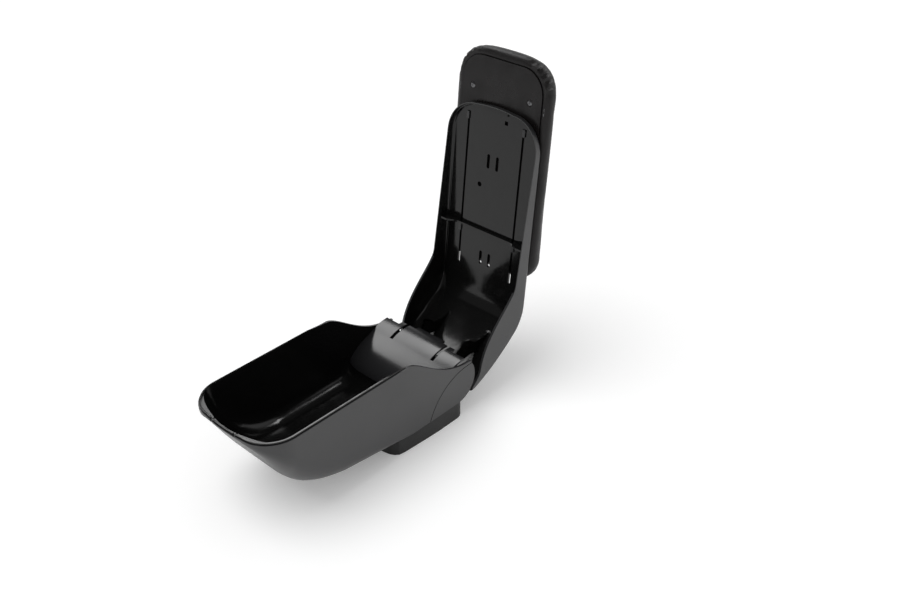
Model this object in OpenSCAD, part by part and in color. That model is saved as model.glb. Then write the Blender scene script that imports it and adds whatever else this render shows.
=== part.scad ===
// Car centre armrest: storage box with a hinged lid and a sliding padded top.
// X points to the front of the box, Y to its left, Z up. The origin is on the
// underside of the foot, at the centre of its bolt pattern. Millimetres.
// The lid and the pad are drawn closed and then swung open about the pin.

/* [Box] */
// Overall width of the box
body_w = 124; // [110:1:140]
// Front of the box, from the origin
box_front = 214; // [190:1:240]
// Height of the rim plane above the underside of the foot
rim_z = 110; // [100:1:125]
// Corner radius of the box in plan
corner_r = 36; // [28:1:44]
// Bulge of the front edge in plan
front_bow = 2; // [0:0.5:4]
// Wall of the mouldings
wall = 2.6; // [2:0.1:3.2]
// Where the rim begins to dip towards the hinge, from the origin
crest_x = 32; // [20:1:44]
// Depth of that dip
dip_h = 42; // [38:1:46]
// Radius of the seam between box and rear cap
seam_r = 64.5; // [62:0.5:66]
// Fillet between the floor and the walls inside
tub_r = 17; // [10:1:20]

/* [Foot] */
// Height of the foot
foot_h = 21; // [16:1:26]
// Length of the foot
foot_len = 108; // [100:1:116]
// How far the foot stands back from the sides of the box
foot_in = 2; // [1:0.5:6]
// Bolt spacing along the box
bolt_x = 50; // [44:1:56]
// Bolt spacing across the box
bolt_y = 40; // [34:1:44]
// Bolt hole diameter
bolt_d = 5.5; // [4:0.1:6.5]

/* [Hinge] */
// Pin position behind the origin
pivot_back = 60; // [58:0.5:62]
// Pin height
pivot_z = 48.3; // [47:0.1:50]
// Pin diameter
pin_d = 5; // [4:0.1:6]
// Running clearance round the pin
pin_gap = 0.06; // [0.02:0.01:0.1]
// Distance of each lid arm from the middle
arm_y = 31; // [28:0.5:36]
// Thickness of each lid arm
arm_t = 2.6; // [2:0.1:3.2]
// Opening angle of the lid at rest
lid_open = 100; // [0:1:100]

/* [Lid] */
// Tilt of the lid's deck
deck_tilt = 4.3; // [3:0.1:5.5]
// Height of the deck over the rim plane at the rear bend
deck_h = 29; // [27:0.5:31]
// Gap between lid and box edges when closed
lid_gap = 0.9; // [0.6:0.1:1.4]
// Radius along the lid's top edges
lid_edge_r = 6; // [4:0.5:8]

/* [Pad] */
// Length of the pad
pad_len = 247; // [230:1:260]
// How far the pad stands out past each side of the box
pad_over = 1.5; // [0:0.1:3]
// Thickness at the rear
pad_t_rear = 28; // [24:1:34]
// Thickness at the front
pad_t_front = 22; // [20:1:30]
// Distance that the pad slides
pad_travel = 40; // [30:1:40]
// Leatherette thickness
skin_t = 1; // [0.8:0.1:1.6]

/* [Hidden] */
$fn = 48;
cut = 60;
over = 1;
half_w = body_w/2;
pivot_x = -pivot_back;
inner_half = half_w - wall;
seat_gap = 0.3;
least_r = 0.4;
corner_steps = 6;
round_steps = 5;

// Unit helpers

function bez(p, t) = pow(1 - t, 3)*p[0] + 3*t*pow(1 - t, 2)*p[1] + 3*t*t*(1 - t)*p[2] + pow(t, 3)*p[3];
function curve(p, n) = [for (i = [0:n]) bez(p, i/n)];
function shift(pts, d) = [for (p = pts) p + d];
function reversed(pts) = [for (i = [len(pts) - 1:-1:0]) pts[i]];
function spread(shares, size) = [for (s = shares) [s[0]*size[0], s[1]*size[1]]];
// Two lines joined at the point that they share
function joined(a, b) = concat(a, [for (i = [1:len(b) - 1]) b[i]]);
// Parameter at which the first coordinate of a falling curve reaches x
function bez_at(p, x, lo = 0, hi = 1, n = 18) =
    n == 0 ? (lo + hi)/2
    : bez(p, (lo + hi)/2)[0] > x ? bez_at(p, x, (lo + hi)/2, hi, n - 1)
    : bez_at(p, x, lo, (lo + hi)/2, n - 1);
// An open line moved sideways by d
function beside(pts, d) = [for (i = [0:len(pts) - 1])
    let (a = pts[max(i - 1, 0)], b = pts[min(i + 1, len(pts) - 1)], t = (b - a)/norm(b - a))
    pts[i] + d*[-t[1], t[0]]];

// A solid through closed rings that all have the same number of points
module loft(rings) {
    m = len(rings[0]);
    n = len(rings);
    points = [for (r = rings) for (p = r) p];
    sides = [for (i = [0:n - 2]) for (j = [0:m - 1])
        for (f = [[i*m + j, i*m + (j + 1)%m, (i + 1)*m + (j + 1)%m],
                  [i*m + j, (i + 1)*m + (j + 1)%m, (i + 1)*m + j]]) f];
    first = [for (j = [m - 1:-1:0]) j];
    last = [for (j = [0:m - 1]) (n - 1)*m + j];
    polyhedron(points, concat([first], sides, [last]), convexity = 6);
}

// A side view outline given as [x, z], as thick as w along Y
module slab(outline, w) {
    rotate([90, 0, 0]) linear_extrude(w, center = true) polygon(outline);
}

// Puts what is drawn about the pin in its place
module at_pin() {
    translate([pivot_x, 0, pivot_z]) children();
}

module rod_y(d, l) {
    rotate([90, 0, 0]) cylinder(d = d, h = l, center = true);
}

// The four places of a rectangular pattern
module four(x, y) {
    for (i = [-1, 1]) for (j = [-1, 1]) translate([i*x/2, j*y/2, 0]) children();
}

// Plan of the box

plan_side = half_w - corner_r;
plan_turn = box_front - corner_r;
front_shares = [0.7, 0.35, 0.08];

// Stations [x, half width] round the front, moved in by t
function front_stations(t) = concat(
    [for (i = [0:corner_steps]) let (a = 90*i/corner_steps)
        [plan_turn + (corner_r - t)*sin(a), plan_side + (corner_r - t)*cos(a)]],
    [for (k = front_shares) [box_front - t + front_bow*(1 - k*k), plan_side*k]]);

function plan_outline(rear, t) = let (s = front_stations(t)) concat(
    [[rear, -(half_w - t)]], [for (p = s) [p[0], -p[1]]], [for (p = reversed(s)) [p[0], p[1]]], [[rear, half_w - t]]);

// Box

// Side view of the underside, from the front edge back to the flat bottom
bow_curve_shares = [[0.833, 0.418], [0.883, 0.09], [0.548, 0]];
bow_line = concat([[box_front + front_bow, rim_z]],
    shift(spread(bow_curve_shares, [box_front, rim_z - foot_h]), [0, foot_h]));
bow_flat_x = bow_line[3][0];
// The outer edge is nearly sharp at the rear and rounds off towards the front
edge_r_rear = 0.8;
edge_r_front = 35;
edge_from_share = 0.123;
edge_from = edge_from_share*box_front;
body_station_shares = [0.15, 0.3, 0.45, 0.6, 0.7, 0.8, 0.9];

function bottom_z(x) = x <= bow_flat_x ? foot_h : bez(bow_line, bez_at(bow_line, x))[1];
function edge_r(x) = edge_r_rear + (edge_r_front - edge_r_rear)*max(0, min(1, (x - edge_from)/(plan_turn - edge_from)));

// One upright U of the box at x: half width w, underside z, edge radius r
function tray_ring(x, w, z, r, top) = let (q = min(r, w*0.8, (top - z)*0.6)) concat(
    [[x, w, top]],
    [for (i = [0:round_steps]) let (a = 90*i/round_steps) [x, w - q + q*cos(a), z + q - q*sin(a)]],
    [for (i = [round_steps:-1:0]) let (a = 90*i/round_steps) [x, -(w - q + q*cos(a)), z + q - q*sin(a)]],
    [[x, -w, top]]);

// Rings of the box from the rear to the front, set in by t, with an edge radius of at least r
function tray_rings(t, rear, top, r) = concat(
    [for (x = concat([rear, edge_from], [for (k = body_station_shares) edge_from + k*(plan_turn - edge_from)]))
        tray_ring(x, half_w - t, bottom_z(x + t) + t, max(edge_r(x) - t, r), top)],
    [for (s = front_stations(t)) tray_ring(s[0], s[1], bottom_z(s[0] + t) + t, max(edge_r(s[0]) - t, r), top)]);

// Side view of the edge that dips from the crest to the hinge
dip_run = crest_x - pivot_x;
crest_share = 0.2;
valley_share = 0.48;
dip_line = curve([[crest_x, rim_z], [crest_x - crest_share*dip_run, rim_z],
                  [pivot_x + valley_share*dip_run, rim_z - dip_h], [pivot_x, rim_z - dip_h]], 14);
tip_back = 5;
tip_x = pivot_x - tip_back;
tip_drop = 1.4;
tip_end = [tip_x, rim_z - dip_h - tip_drop];

lip_h = 2.4;
lip_in = 1.1;
lip_t = 1.5;
slit_y = 17;
slit_w = 1.6;
slit_h = 14;
hook_t = 1.2;
hook_h = 1.6;

chassis_z = foot_h + wall + seat_gap;
chassis_t = 3;
chassis_top = chassis_z + chassis_t;
chassis_back = 44;
chassis_front = 4.6;
ear_in = 9.4;
ear_y = inner_half - ear_in;
ear_t = 4;
ear_r = 9;
ear_rise = 4;
web_front = 2;
web_h = 16;
seam_gap = 0.3;
cove_r = 17;
cove_steps = 5;
boss_d = 9;
boss_top = 35;
screw_d = 3;
screw_hole_d = 3.2;
cover_reach = 67;
cove_x = pivot_x + cover_reach + seat_gap;
floor_z = foot_h + wall;

// Inside of the box: a tub with a cove at its rear and wide fillets along its floor
function tub_rings(top) = concat(
    [for (i = [0:cove_steps]) let (a = 90*i/cove_steps)
        tray_ring(cove_x + cove_r*(1 - cos(a)), inner_half, floor_z + cove_r*(1 - sin(a)), tub_r, top)],
    [for (r = tray_rings(wall, 0, top, tub_r)) if (r[0][0] > cove_x + cove_r) r]);

module tray() color([0.2, 0.2, 0.21]) {
    difference() {
        union() {
            difference() {
                loft(tray_rings(0, pivot_x - cut/2, rim_z, edge_r_rear));
                loft(tub_rings(rim_z + cut));
                translate([pivot_x - cut, -inner_half, floor_z]) cube([cove_x + cut - pivot_x, 2*inner_half, rim_z]);
                // The seam of the rear cap
                translate([pivot_x, 0, 0]) rod_y(2*seam_r, 2*cut + body_w);
            }
            rear_chassis();
            rear_screw_places() translate([0, 0, chassis_z]) cylinder(d = boss_d, h = boss_top - chassis_z);
            lip();
        }
        // The dip of both side walls
        slab(concat([[crest_x + 2*cut, rim_z]], dip_line,
            [tip_end, [tip_x, pivot_z], [tip_x - cut, pivot_z], [tip_x - cut, rim_z + cut],
             [crest_x, rim_z + cut], [crest_x, rim_z + lip_h], [crest_x + 2*cut, rim_z + lip_h]]), body_w + cut);
        for (j = [-1, 1]) translate([box_front, j*slit_y, rim_z - slit_h/2 + lip_h/2])
            cube([cut/2, slit_w, slit_h + lip_h + over], center = true);
        at_pin() rod_y(pin_d + 2*pin_gap, 2*(ear_y + ear_t + over));
        mount_holes(foot_h - over, chassis_top + over);
        foot_screw_holes();
        cap_screw_places() cylinder(d = screw_hole_d, h = chassis_top);
        cover_posts() translate([0, 0, chassis_z - over]) {
            cylinder(d = screw_hole_d, h = chassis_t + 2*over);
            cylinder(d = cover_head_d + 2*seat_gap, h = cover_head_h + seat_gap + over);
        }
    }
    latch_hook();
}

// Locating lip that stands on the rim
module lip() {
    intersection() {
        translate([0, 0, rim_z - over]) linear_extrude(lip_h + over) difference() {
            polygon(plan_outline(crest_x, lip_in));
            polygon(plan_outline(crest_x - over, lip_in + lip_t));
        }
        translate([crest_x, -half_w, 0]) cube([box_front, body_w, rim_z + cut]);
    }
}

// Small snap ridge inside the latch tongue
module latch_hook() {
    translate([box_front + front_bow/2 - lip_in, 0, rim_z + lip_h - hook_h/2])
        cube([hook_t, slit_y, hook_h], center = true);
}

// Floor and ears behind the seam, carried by the box
module rear_chassis() {
    translate([-chassis_back, -inner_half + seat_gap, chassis_z])
        cube([chassis_front + chassis_back, 2*(inner_half - seat_gap), chassis_t]);
    // Joins this floor to that of the box
    translate([web_front, -inner_half + seat_gap, foot_h])
        cube([chassis_front - web_front, 2*(inner_half - seat_gap), chassis_top - foot_h]);
    for (j = [-1, 1]) translate([0, j*(ear_y + ear_t/2), 0]) {
        at_pin() rod_y(2*ear_r, ear_t);
        slab([[pivot_x - ear_r + seat_gap, pivot_z], [-chassis_back, chassis_z], [web_front, chassis_z],
              [web_front, chassis_z + web_h], [pivot_x + ear_r - over, pivot_z + ear_rise]], ear_t);
    }
}

module mount_holes(z0, z1) {
    four(bolt_x, bolt_y) translate([0, 0, z0]) cylinder(d = bolt_d, h = z1 - z0);
}

// The rear screws of the foot reach into bosses, the front ones into the tub's thick corners
rear_screw_x = 41;
rear_screw_in = 17.4;
rear_screw_l = 14;
front_screw_x = 36;
front_screw_in = 6.4;
front_screw_l = 9;
screw_seat = 5;
head_d = 6.4;
head_h = 2.4;
head_gap = 0.5;

module rear_screw_places() {
    for (j = [-1, 1]) translate([-rear_screw_x, j*(inner_half - rear_screw_in), 0]) children();
}

module front_screw_places() {
    for (j = [-1, 1]) translate([front_screw_x, j*(inner_half - front_screw_in), 0]) children();
}

module foot_screw_holes() {
    translate([0, 0, foot_h - screw_seat - over]) {
        rear_screw_places() cylinder(d = screw_hole_d, h = rear_screw_l + 2*over);
        front_screw_places() cylinder(d = screw_hole_d, h = front_screw_l + over + seat_gap);
    }
}

cap_screw_x = 22;
cap_screw_in = 15.4;
cap_screw_head = 6;
cap_screw_head_h = 1.8;

module cap_screw_places() {
    for (j = [-1, 1]) translate([-cap_screw_x, j*(inner_half - cap_screw_in), foot_h]) children();
}

// Rear cap

cap_r = 27.3;
cap_back = 10.3;
cap_drop = 10.5;
cap_cx = pivot_x - cap_back + cap_r;
cap_wall_top = pivot_z - cap_drop;

module cap_profile(t) {
    intersection() {
        translate([pivot_x, 0]) circle(r = seam_r - seam_gap, $fn = 96);
        union() {
            translate([cap_cx, pivot_z]) circle(r = cap_r - t, $fn = 96);
            translate([cap_cx, foot_h + t]) square([cut, cut]);
        }
    }
}

module rear_cap() color([0.21, 0.21, 0.22]) difference() {
    rotate([90, 0, 0]) linear_extrude(body_w, center = true) cap_profile(0);
    rotate([90, 0, 0]) linear_extrude(2*inner_half, center = true) union() {
        cap_profile(wall);
        translate([cap_cx - cut, cap_wall_top]) square([2*cut, cut]);
        translate([cap_cx, floor_z]) square([2*cut, cut]);
    }
    slab(concat(shift(dip_line, [0, -seat_gap]),
        [[tip_x - cut, rim_z - dip_h - tip_drop], [tip_x - cut, rim_z], [crest_x, rim_z]]), body_w + cut);
    mount_holes(foot_h - over, floor_z + over);
    foot_screw_holes();
    cap_screw_places() translate([0, 0, -over]) cylinder(d = screw_hole_d, h = wall + 2*over);
}

// Foot

foot_shift = 2;
foot_r_rear = 6;
foot_r_front = 20;
blind_h = 3;

// One rounded corner of the foot, with centre c, radius r and start angle a0
function corner(c, r, a0) = [for (a = [0:15:90]) c + r*[cos(a0 + a), sin(a0 + a)]];

module foot() color([0.14, 0.14, 0.15]) {
    x = foot_len/2;
    y = half_w - foot_in;
    difference() {
        translate([-foot_shift, 0, 0]) linear_extrude(foot_h) polygon(concat(
            corner([-x + foot_r_rear, -y + foot_r_rear], foot_r_rear, 180),
            corner([x - foot_r_front, -y + foot_r_front], foot_r_front, 270),
            corner([x - foot_r_front, y - foot_r_front], foot_r_front, 0),
            corner([-x + foot_r_rear, y - foot_r_rear], foot_r_rear, 90)));
        mount_holes(-over, foot_h + over);
        foot_screw_holes();
        // Deep seats for the screw heads, open below
        translate([0, 0, -over]) {
            rear_screw_places() cylinder(d = head_d + 2*head_gap, h = foot_h - screw_seat + over);
            front_screw_places() cylinder(d = head_d + 2*head_gap, h = foot_h - screw_seat + over);
        }
        cap_screw_places() translate([0, 0, -blind_h]) cylinder(d = screw_hole_d, h = blind_h + over);
    }
}

module foot_screw(l) {
    translate([0, 0, -head_h]) cylinder(d = head_d, h = head_h);
    cylinder(d = screw_d, h = l);
}

module foot_screws() color([0.6, 0.6, 0.62]) translate([0, 0, foot_h - screw_seat]) {
    rear_screw_places() foot_screw(rear_screw_l);
    front_screw_places() foot_screw(front_screw_l);
}

module cap_screws() color([0.6, 0.6, 0.62]) cap_screw_places() {
    translate([0, 0, chassis_top - foot_h]) cylinder(d = cap_screw_head, h = cap_screw_head_h);
    cylinder(d = screw_d, h = chassis_top - foot_h);
}

// Hinge

ring_t = 1;
ring_d = 11;
pin_over = 1.5;
tube_gap = 0.3;
ring_gap = 0.1;
spacer_d = 9;
washer_d = 12;
washer_t = 0.8;
washer_gap = 0.1;

module hinge_pin() color([0.7, 0.7, 0.72]) at_pin() rod_y(pin_d, 2*(ear_y + ear_t + ring_t + pin_over));

module pin_rings() color([0.65, 0.65, 0.67]) for (j = [-1, 1])
    at_pin() translate([0, j*(ear_y + ear_t + ring_t/2 + ring_gap), 0]) difference() {
        rod_y(ring_d, ring_t);
        rod_y(pin_d + 2*pin_gap, 2*ring_t);
    }

module spacer(y0, y1) {
    at_pin() translate([0, (y0 + y1)/2, 0]) difference() {
        rod_y(spacer_d, y1 - y0);
        rod_y(pin_d + 2*pin_gap, y1 - y0 + over);
    }
}

module spacer_tube() color([0.3, 0.3, 0.32]) {
    inner = arm_y - arm_t/2 - tube_gap;
    spacer(-inner, inner);
}

module side_spacers() color([0.3, 0.3, 0.32]) for (j = [-1, 1]) mirror([0, j < 0 ? 1 : 0, 0])
    spacer(arm_y + arm_t/2 + tube_gap, ear_y - washer_t - 2*washer_gap);

module hinge_washers() color([0.7, 0.7, 0.72]) for (j = [-1, 1]) mirror([0, j < 0 ? 1 : 0, 0])
    at_pin() translate([0, ear_y - washer_gap - washer_t/2, 0]) difference() {
        rod_y(washer_d, washer_t);
        rod_y(pin_d + 2*pin_gap, 2*washer_t);
    }

// Hinge cover: one curved sheet, drawn about the pin

cover_t = 2.2;
cover_gap = 0.4;
cover_half = inner_half - cover_gap;
cover_h = 26.3;
cover_rear_share = 0.12;
cover_back = cover_rear_share*cover_reach;
cover_top_shares = [[-cover_rear_share, 0.875], [0, 0.996], [0.194, 1.004], [0.358, 0.798]];
cover_front_shares = [[0.358, 0.798], [0.537, 0.57], [0.985, 0.304], [1, -0.532]];
cover_foot_z = floor_z + seat_gap;
cover_line = concat(joined(curve(spread(cover_top_shares, [cover_reach, cover_h]), 7),
    curve(spread(cover_front_shares, [cover_reach, cover_h]), 8)), [[cover_reach, cover_foot_z - pivot_z]]);
cover_step = 6;
step_inner = 20;
step_outer = 40;
post_x = 30;
post_in = 17.4;
post_d = 7;
thread_gap = 0.05;
cover_screw_l = 10;
cover_head_d = 5.6;
cover_head_h = 1.6;
slot_front = 25.5;
slot_w = 3.6;

module cover_posts() {
    for (j = [-1, 1]) translate([pivot_x + post_x, j*(inner_half - post_in), 0]) children();
}

module cover_screws() color([0.6, 0.6, 0.62]) cover_posts() translate([0, 0, chassis_z]) {
    cylinder(d = cover_head_d, h = cover_head_h);
    cylinder(d = screw_d, h = cover_screw_l);
}

module hinge_cover() color([0.42, 0.42, 0.44]) difference() {
    union() {
        translate([pivot_x, 0, pivot_z]) slab(concat(cover_line, reversed(beside(cover_line, -cover_t))), 2*cover_half);
        // Posts that stand on the chassis
        intersection() {
            cover_posts() translate([0, 0, chassis_top]) cylinder(d = post_d, h = cut);
            translate([pivot_x, 0, pivot_z]) slab(concat(cover_line, [[-cover_back, -cut]]), body_w);
        }
    }
    cover_posts() translate([0, 0, chassis_top - over]) cylinder(d = screw_d + 2*thread_gap, h = cover_screw_l);
    // Slots for the arms, open to the rear
    for (j = [-1, 1]) translate([pivot_x + slot_front - cut, j*arm_y - slot_w/2, pivot_z]) cube([cut, slot_w, cut]);
    // Stepped rear edge
    for (j = [-1, 1]) for (k = [[step_inner, 1], [step_outer, 2]])
        translate([pivot_x - cut, j > 0 ? k[0] : -k[0] - cut, pivot_z])
            cube([cut - cover_back + k[1]*cover_step, cut, cut]);
}

// Lid, drawn closed

deck_x = -14;
deck_z = rim_z + deck_h;
deck_len = (box_front - deck_x)/cos(deck_tilt);
roof_top = 2.5;
recess_n = 4;
roof_under = 6.8;
recess_in = 7.2;
recess_half = half_w - recess_in;
recess_from = 8;
tail_back = 24;
tail_drop = 50;
tail_tip = [pivot_x - tail_back, rim_z - tail_drop];
skirt_h = 12;
tail_low = tail_tip[1] - skirt_h;
bend_back = 12;
bend_drop = 11;
bend_mid = 2;
bend_front = 16;
bend_rear = [deck_x - bend_back, deck_z - bend_drop];
slope_shares = [[0, 0], [0.224, 0.353], [0.552, 0.684], [1, 1]];
slope_line = shift(spread(slope_shares, bend_rear - tail_tip), tail_tip);
inward_shares = [0.72, -0.7];
tail_round = 2.5;
tail_taper = 3;

module in_deck() {
    translate([deck_x, 0, deck_z]) rotate([0, deck_tilt, 0]) children();
}

function deck_point(u, n) = [deck_x + u*cos(deck_tilt) + n*sin(deck_tilt), deck_z - u*sin(deck_tilt) + n*cos(deck_tilt)];
function deck_height(x, n) = deck_z - (x - deck_x)*tan(deck_tilt) + n/cos(deck_tilt);

// Top line of the lid seen from the side, as [x, z], set in by t and with the roof at n
function lid_top(t, n) = concat(
    shift(curve(slope_line, 8), t*inward_shares),
    let (a = bend_rear + t*inward_shares, b = [deck_x + bend_mid, deck_height(deck_x + bend_mid, n)],
         c = [deck_x + bend_front, deck_height(deck_x + bend_front, n)])
        [for (k = [0.34, 0.67, 1]) pow(1 - k, 2)*a + 2*k*(1 - k)*b + k*k*c],
    [for (k = [0.33, 0.66]) let (x = deck_x + bend_front + k*(plan_turn - deck_x - bend_front)) [x, deck_height(x, n)]]);

function lid_ring(x, w, z, r) = concat(
    [[x, -w, tail_low]],
    [for (i = [0:round_steps]) let (a = 90*i/round_steps) [x, -(w - r + r*cos(a)), z - r + r*sin(a)]],
    [for (i = [round_steps:-1:0]) let (a = 90*i/round_steps) [x, w - r + r*cos(a), z - r + r*sin(a)]],
    [[x, w, tail_low]]);

function lid_rings(t, n) = let (r = max(lid_edge_r - t, least_r)) concat(
    [for (p = lid_top(t, n)) lid_ring(p[0], half_w - t - (p[0] < tail_tip[0] + tail_taper + t ? tail_round : 0), p[1], r)],
    [for (s = front_stations(t)) lid_ring(s[0], s[1], deck_height(s[0], n), min(r, s[1]*0.6))]);

lid_edge_in = 0.6;
edge_end = [pivot_x, rim_z - dip_h + lid_gap];
tail_edge_shares = [[0.25, 0.18], [0.5, 0.55], [0.75, 1.146], [0.917, 1.09]];
tail_edge = shift(spread(tail_edge_shares, tail_tip - edge_end), edge_end);
lid_edge = concat([[box_front + cut, rim_z + lid_gap]], shift(dip_line, [-lid_edge_in, lid_gap]), tail_edge,
    [[tail_tip[0] - cut, tail_edge[3][1]], [tail_tip[0] - cut, -cut], [box_front + cut, -cut]]);
arm_reach = 24;
arm_h = 84;
arm_shares = [[0.3125, 0.048], [0.729, 0.202], [0.979, 0.274], [0.917, 0.381], [0.708, 0.476], [0.75, 0.643],
              [1, 0.833], [1, 1], [0.167, 0.786], [0.125, 0.429], [-0.042, 0.286], [-0.3125, 0.048]];
arm_outline = spread(arm_shares, [arm_reach, arm_h]);
arm_r = 8.5;
arm_root = 0.5;
rib_x = 72;
rib_t = 2;
rib_half = 39.5;
rib_mid_h = 5;
guide_in = 24;
guide_y = half_w - guide_in;
guide_w = 2.6;
guide_from = 21;
guide_to = 203.5;
bridge_at = [45.5, 160.5];
bridge_l = 14.5;
bridge_w = 3.2;
bridge_y = 6.2;
eye_hole_x = 125;
eye_hole_y = 16;
eye_hole_d = 3.6;
pip_d = 2.4;
pip_h = 0.3;
pip_shares = [[0.014, 0.836], [-0.065, 0.764], [-0.15, 0.727]];
pips = spread(pip_shares, [box_front, rim_z]);
lip_gap = 0.2;
rebate_back = 8;
rebate_h = 2.6;
catch_half = 16;
catch_t = 1.5;
catch_h = 3;
latch_hole = 4.5;
latch_hole_back = 11;
latch_hole_y = 10;

module open_lid() {
    at_pin() rotate([0, -lid_open, 0]) translate([-pivot_x, 0, -pivot_z]) children();
}

module lid_shell() color([0.15, 0.15, 0.16]) open_lid() difference() {
    union() {
        difference() {
            loft(lid_rings(0, -roof_top));
            loft(lid_rings(wall, -roof_under));
        }
        intersection() {
            loft(lid_rings(wall - arm_root, -roof_under + arm_root));
            union() {
                for (j = [-1, 1]) translate([pivot_x, j*arm_y, pivot_z]) slab(arm_outline, arm_t);
                cross_rib();
                catch_block();
            }
        }
        for (j = [-1, 1]) at_pin() translate([0, j*arm_y, 0]) rod_y(2*arm_r, arm_t);
        for (p = pips) for (j = [-1, 1]) translate([p[0], j*(inner_half - pip_h/2), p[1]]) rod_y(pip_d, pip_h + least_r);
    }
    difference() {
        slab(lid_edge, body_w + cut);
        for (j = [-1, 1]) {
            translate([pivot_x, j*arm_y, pivot_z]) slab(arm_outline, arm_t);
            at_pin() translate([0, j*arm_y, 0]) rod_y(2*arm_r, arm_t);
        }
    }
    // Rebate for the lip of the box
    translate([0, 0, rim_z - over]) linear_extrude(over + lid_gap + rebate_h)
        polygon(plan_outline(crest_x - rebate_back, lip_in - lip_gap));
    at_pin() rod_y(pin_d + 2*pin_gap, body_w);
    in_deck() roof_cuts();
}

// Recess for the pad's plate, guide slots, bridges and holes of the roof
module roof_cuts() {
    translate([recess_from, -recess_half, -recess_n]) cube([deck_len + cut, 2*recess_half, cut/4]);
    for (j = [-1, 1]) translate([(guide_from + guide_to)/2 - deck_x, j*guide_y, -roof_under/2])
        cube([guide_to - guide_from, guide_w, 2*roof_under], center = true);
    for (x = bridge_at) for (j = [-1, 1]) translate([x - deck_x, j*bridge_y, -roof_under/2]) {
        cube([bridge_l - bridge_w, bridge_w, 2*roof_under], center = true);
        for (i = [-1, 1]) translate([i*(bridge_l - bridge_w)/2, 0, 0])
            cylinder(d = bridge_w, h = 2*roof_under, center = true, $fn = 16);
    }
    translate([eye_hole_x - deck_x, -eye_hole_y, -roof_under/2])
        cylinder(d = eye_hole_d, h = 2*roof_under, center = true, $fn = 24);
    translate([box_front - latch_hole_back - deck_x, latch_hole_y, -roof_under/2])
        cube([latch_hole, latch_hole, 2*roof_under], center = true);
}

// Low rib across the roof, which comes down to the rim at both sides
module cross_rib() {
    translate([rib_x, 0, rim_z + cut/2 + lid_gap]) difference() {
        cube([rib_t, body_w, cut], center = true);
        translate([0, 0, -cut/2])
            linear_extrude(2*(deck_height(rib_x, -roof_under - rib_mid_h) - rim_z - lid_gap), center = true)
                square([2*rib_t, 2*rib_half], center = true);
    }
}

// Raised band inside the front wall, which the tongue of the box snaps under
module catch_block() {
    translate([box_front - wall - catch_t + front_bow/2, -catch_half, rim_z + lid_gap + rebate_h])
        cube([catch_t + wall, 2*catch_half, catch_h + cut/4]);
}

glide_w = 6;
glide_t = 0.4;
glide_in = 14;
glide_from = 24;
glide_end = 40;
glide_gap = 0.1;

module glide_strips() color([0.3, 0.3, 0.3]) open_lid() in_deck() for (j = [-1, 1])
    translate([glide_from, j*(half_w - glide_in) - glide_w/2, -recess_n])
        cube([deck_len - glide_from - glide_end, glide_w, glide_t]);

// Pad, drawn closed and slid out by its travel

pad_w = body_w + 2*pad_over;
pad_rear = 42;
plate_in = 9;
plate_t = 2.2;
plate_n = -recess_n + glide_t + glide_gap;
board_t = 3;
board_n = plate_n + plate_t;
board_in = 3;
pad_r_front = 36;
pad_r_rear = 24;
pad_roll_rear = 24;
pad_roll_front = 16;
skin_n = board_n - skin_t;
hook_len = 8;
hook_at = [66, 199];
hook_blade = 1.6;
hook_foot = 3.4;
hook_foot_t = 1.2;
hook_flange = 6;
hook_flange_t = 1;
hook_gap = 0.1;

module in_pad() {
    open_lid() in_deck() children();
}

// Half width of the pad at u, moved in by t
function pad_half(u, t) = let (a = pad_rear + pad_r_rear, b = pad_rear + pad_len - pad_r_front, w = pad_w/2)
    u < a ? w - pad_r_rear + sqrt(max(0, pow(pad_r_rear - t, 2) - pow(a - u, 2)))
    : u > b ? w - pad_r_front + sqrt(max(0, pow(pad_r_front - t, 2) - pow(u - b, 2)))
    : w - t;
// Height of the pad's top at u
function pad_top(u, t) = let (s = (u - pad_rear)/pad_len, h = pad_t_rear + (pad_t_front - pad_t_rear)*s,
        e = min(1, (u - pad_rear - t)/pad_roll_rear), g = min(1, (pad_rear + pad_len - t - u)/pad_roll_front))
    (h - t)*(0.35 + 0.65*sqrt(max(0, 1 - pow(1 - e, 2)))*sqrt(max(0, 1 - pow(1 - g, 2))));
section_shares = [[0.95, 0], [1, 0.16], [1, 0.5], [0.97, 0.76], [0.88, 0.93], [0.5, 1]];
pad_station_shares = [0, 0.012, 0.03, 0.06, 0.1, 0.2, 0.45, 0.7, 0.86, 0.91, 0.945, 0.97, 0.988, 1];

function pad_ring(u, t, n) = let (w = pad_half(u, t), h = pad_top(u, t) - n) concat(
    [for (p = section_shares) [u, -w*p[0], n + h*p[1]]],
    [for (p = reversed(section_shares)) [u, w*p[0], n + h*p[1]]]);
function pad_rings(t, n) = [for (k = pad_station_shares) pad_ring(pad_rear + t + k*(pad_len - 2*t), t, n)];

module pad_plan(t) {
    polygon(concat([for (k = pad_station_shares) let (u = pad_rear + t + k*(pad_len - 2*t)) [u, -pad_half(u, t)]],
        [for (k = reversed(pad_station_shares)) let (u = pad_rear + t + k*(pad_len - 2*t)) [u, pad_half(u, t)]]));
}

screw_from_rear = 30;
screw_from_front = 44;
plate_screw_u = [pad_rear + screw_from_rear, pad_rear + pad_len - screw_from_front];
plate_screw_in = 24.5;
plate_screw_d = 3;
plate_head_d = 6;
plate_head_t = 0.9;
plate_gap = 0.1;

module plate_screw_places() {
    for (u = plate_screw_u) for (j = [-1, 1]) translate([u, j*(pad_w/2 - plate_screw_in), plate_n]) children();
}

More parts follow.
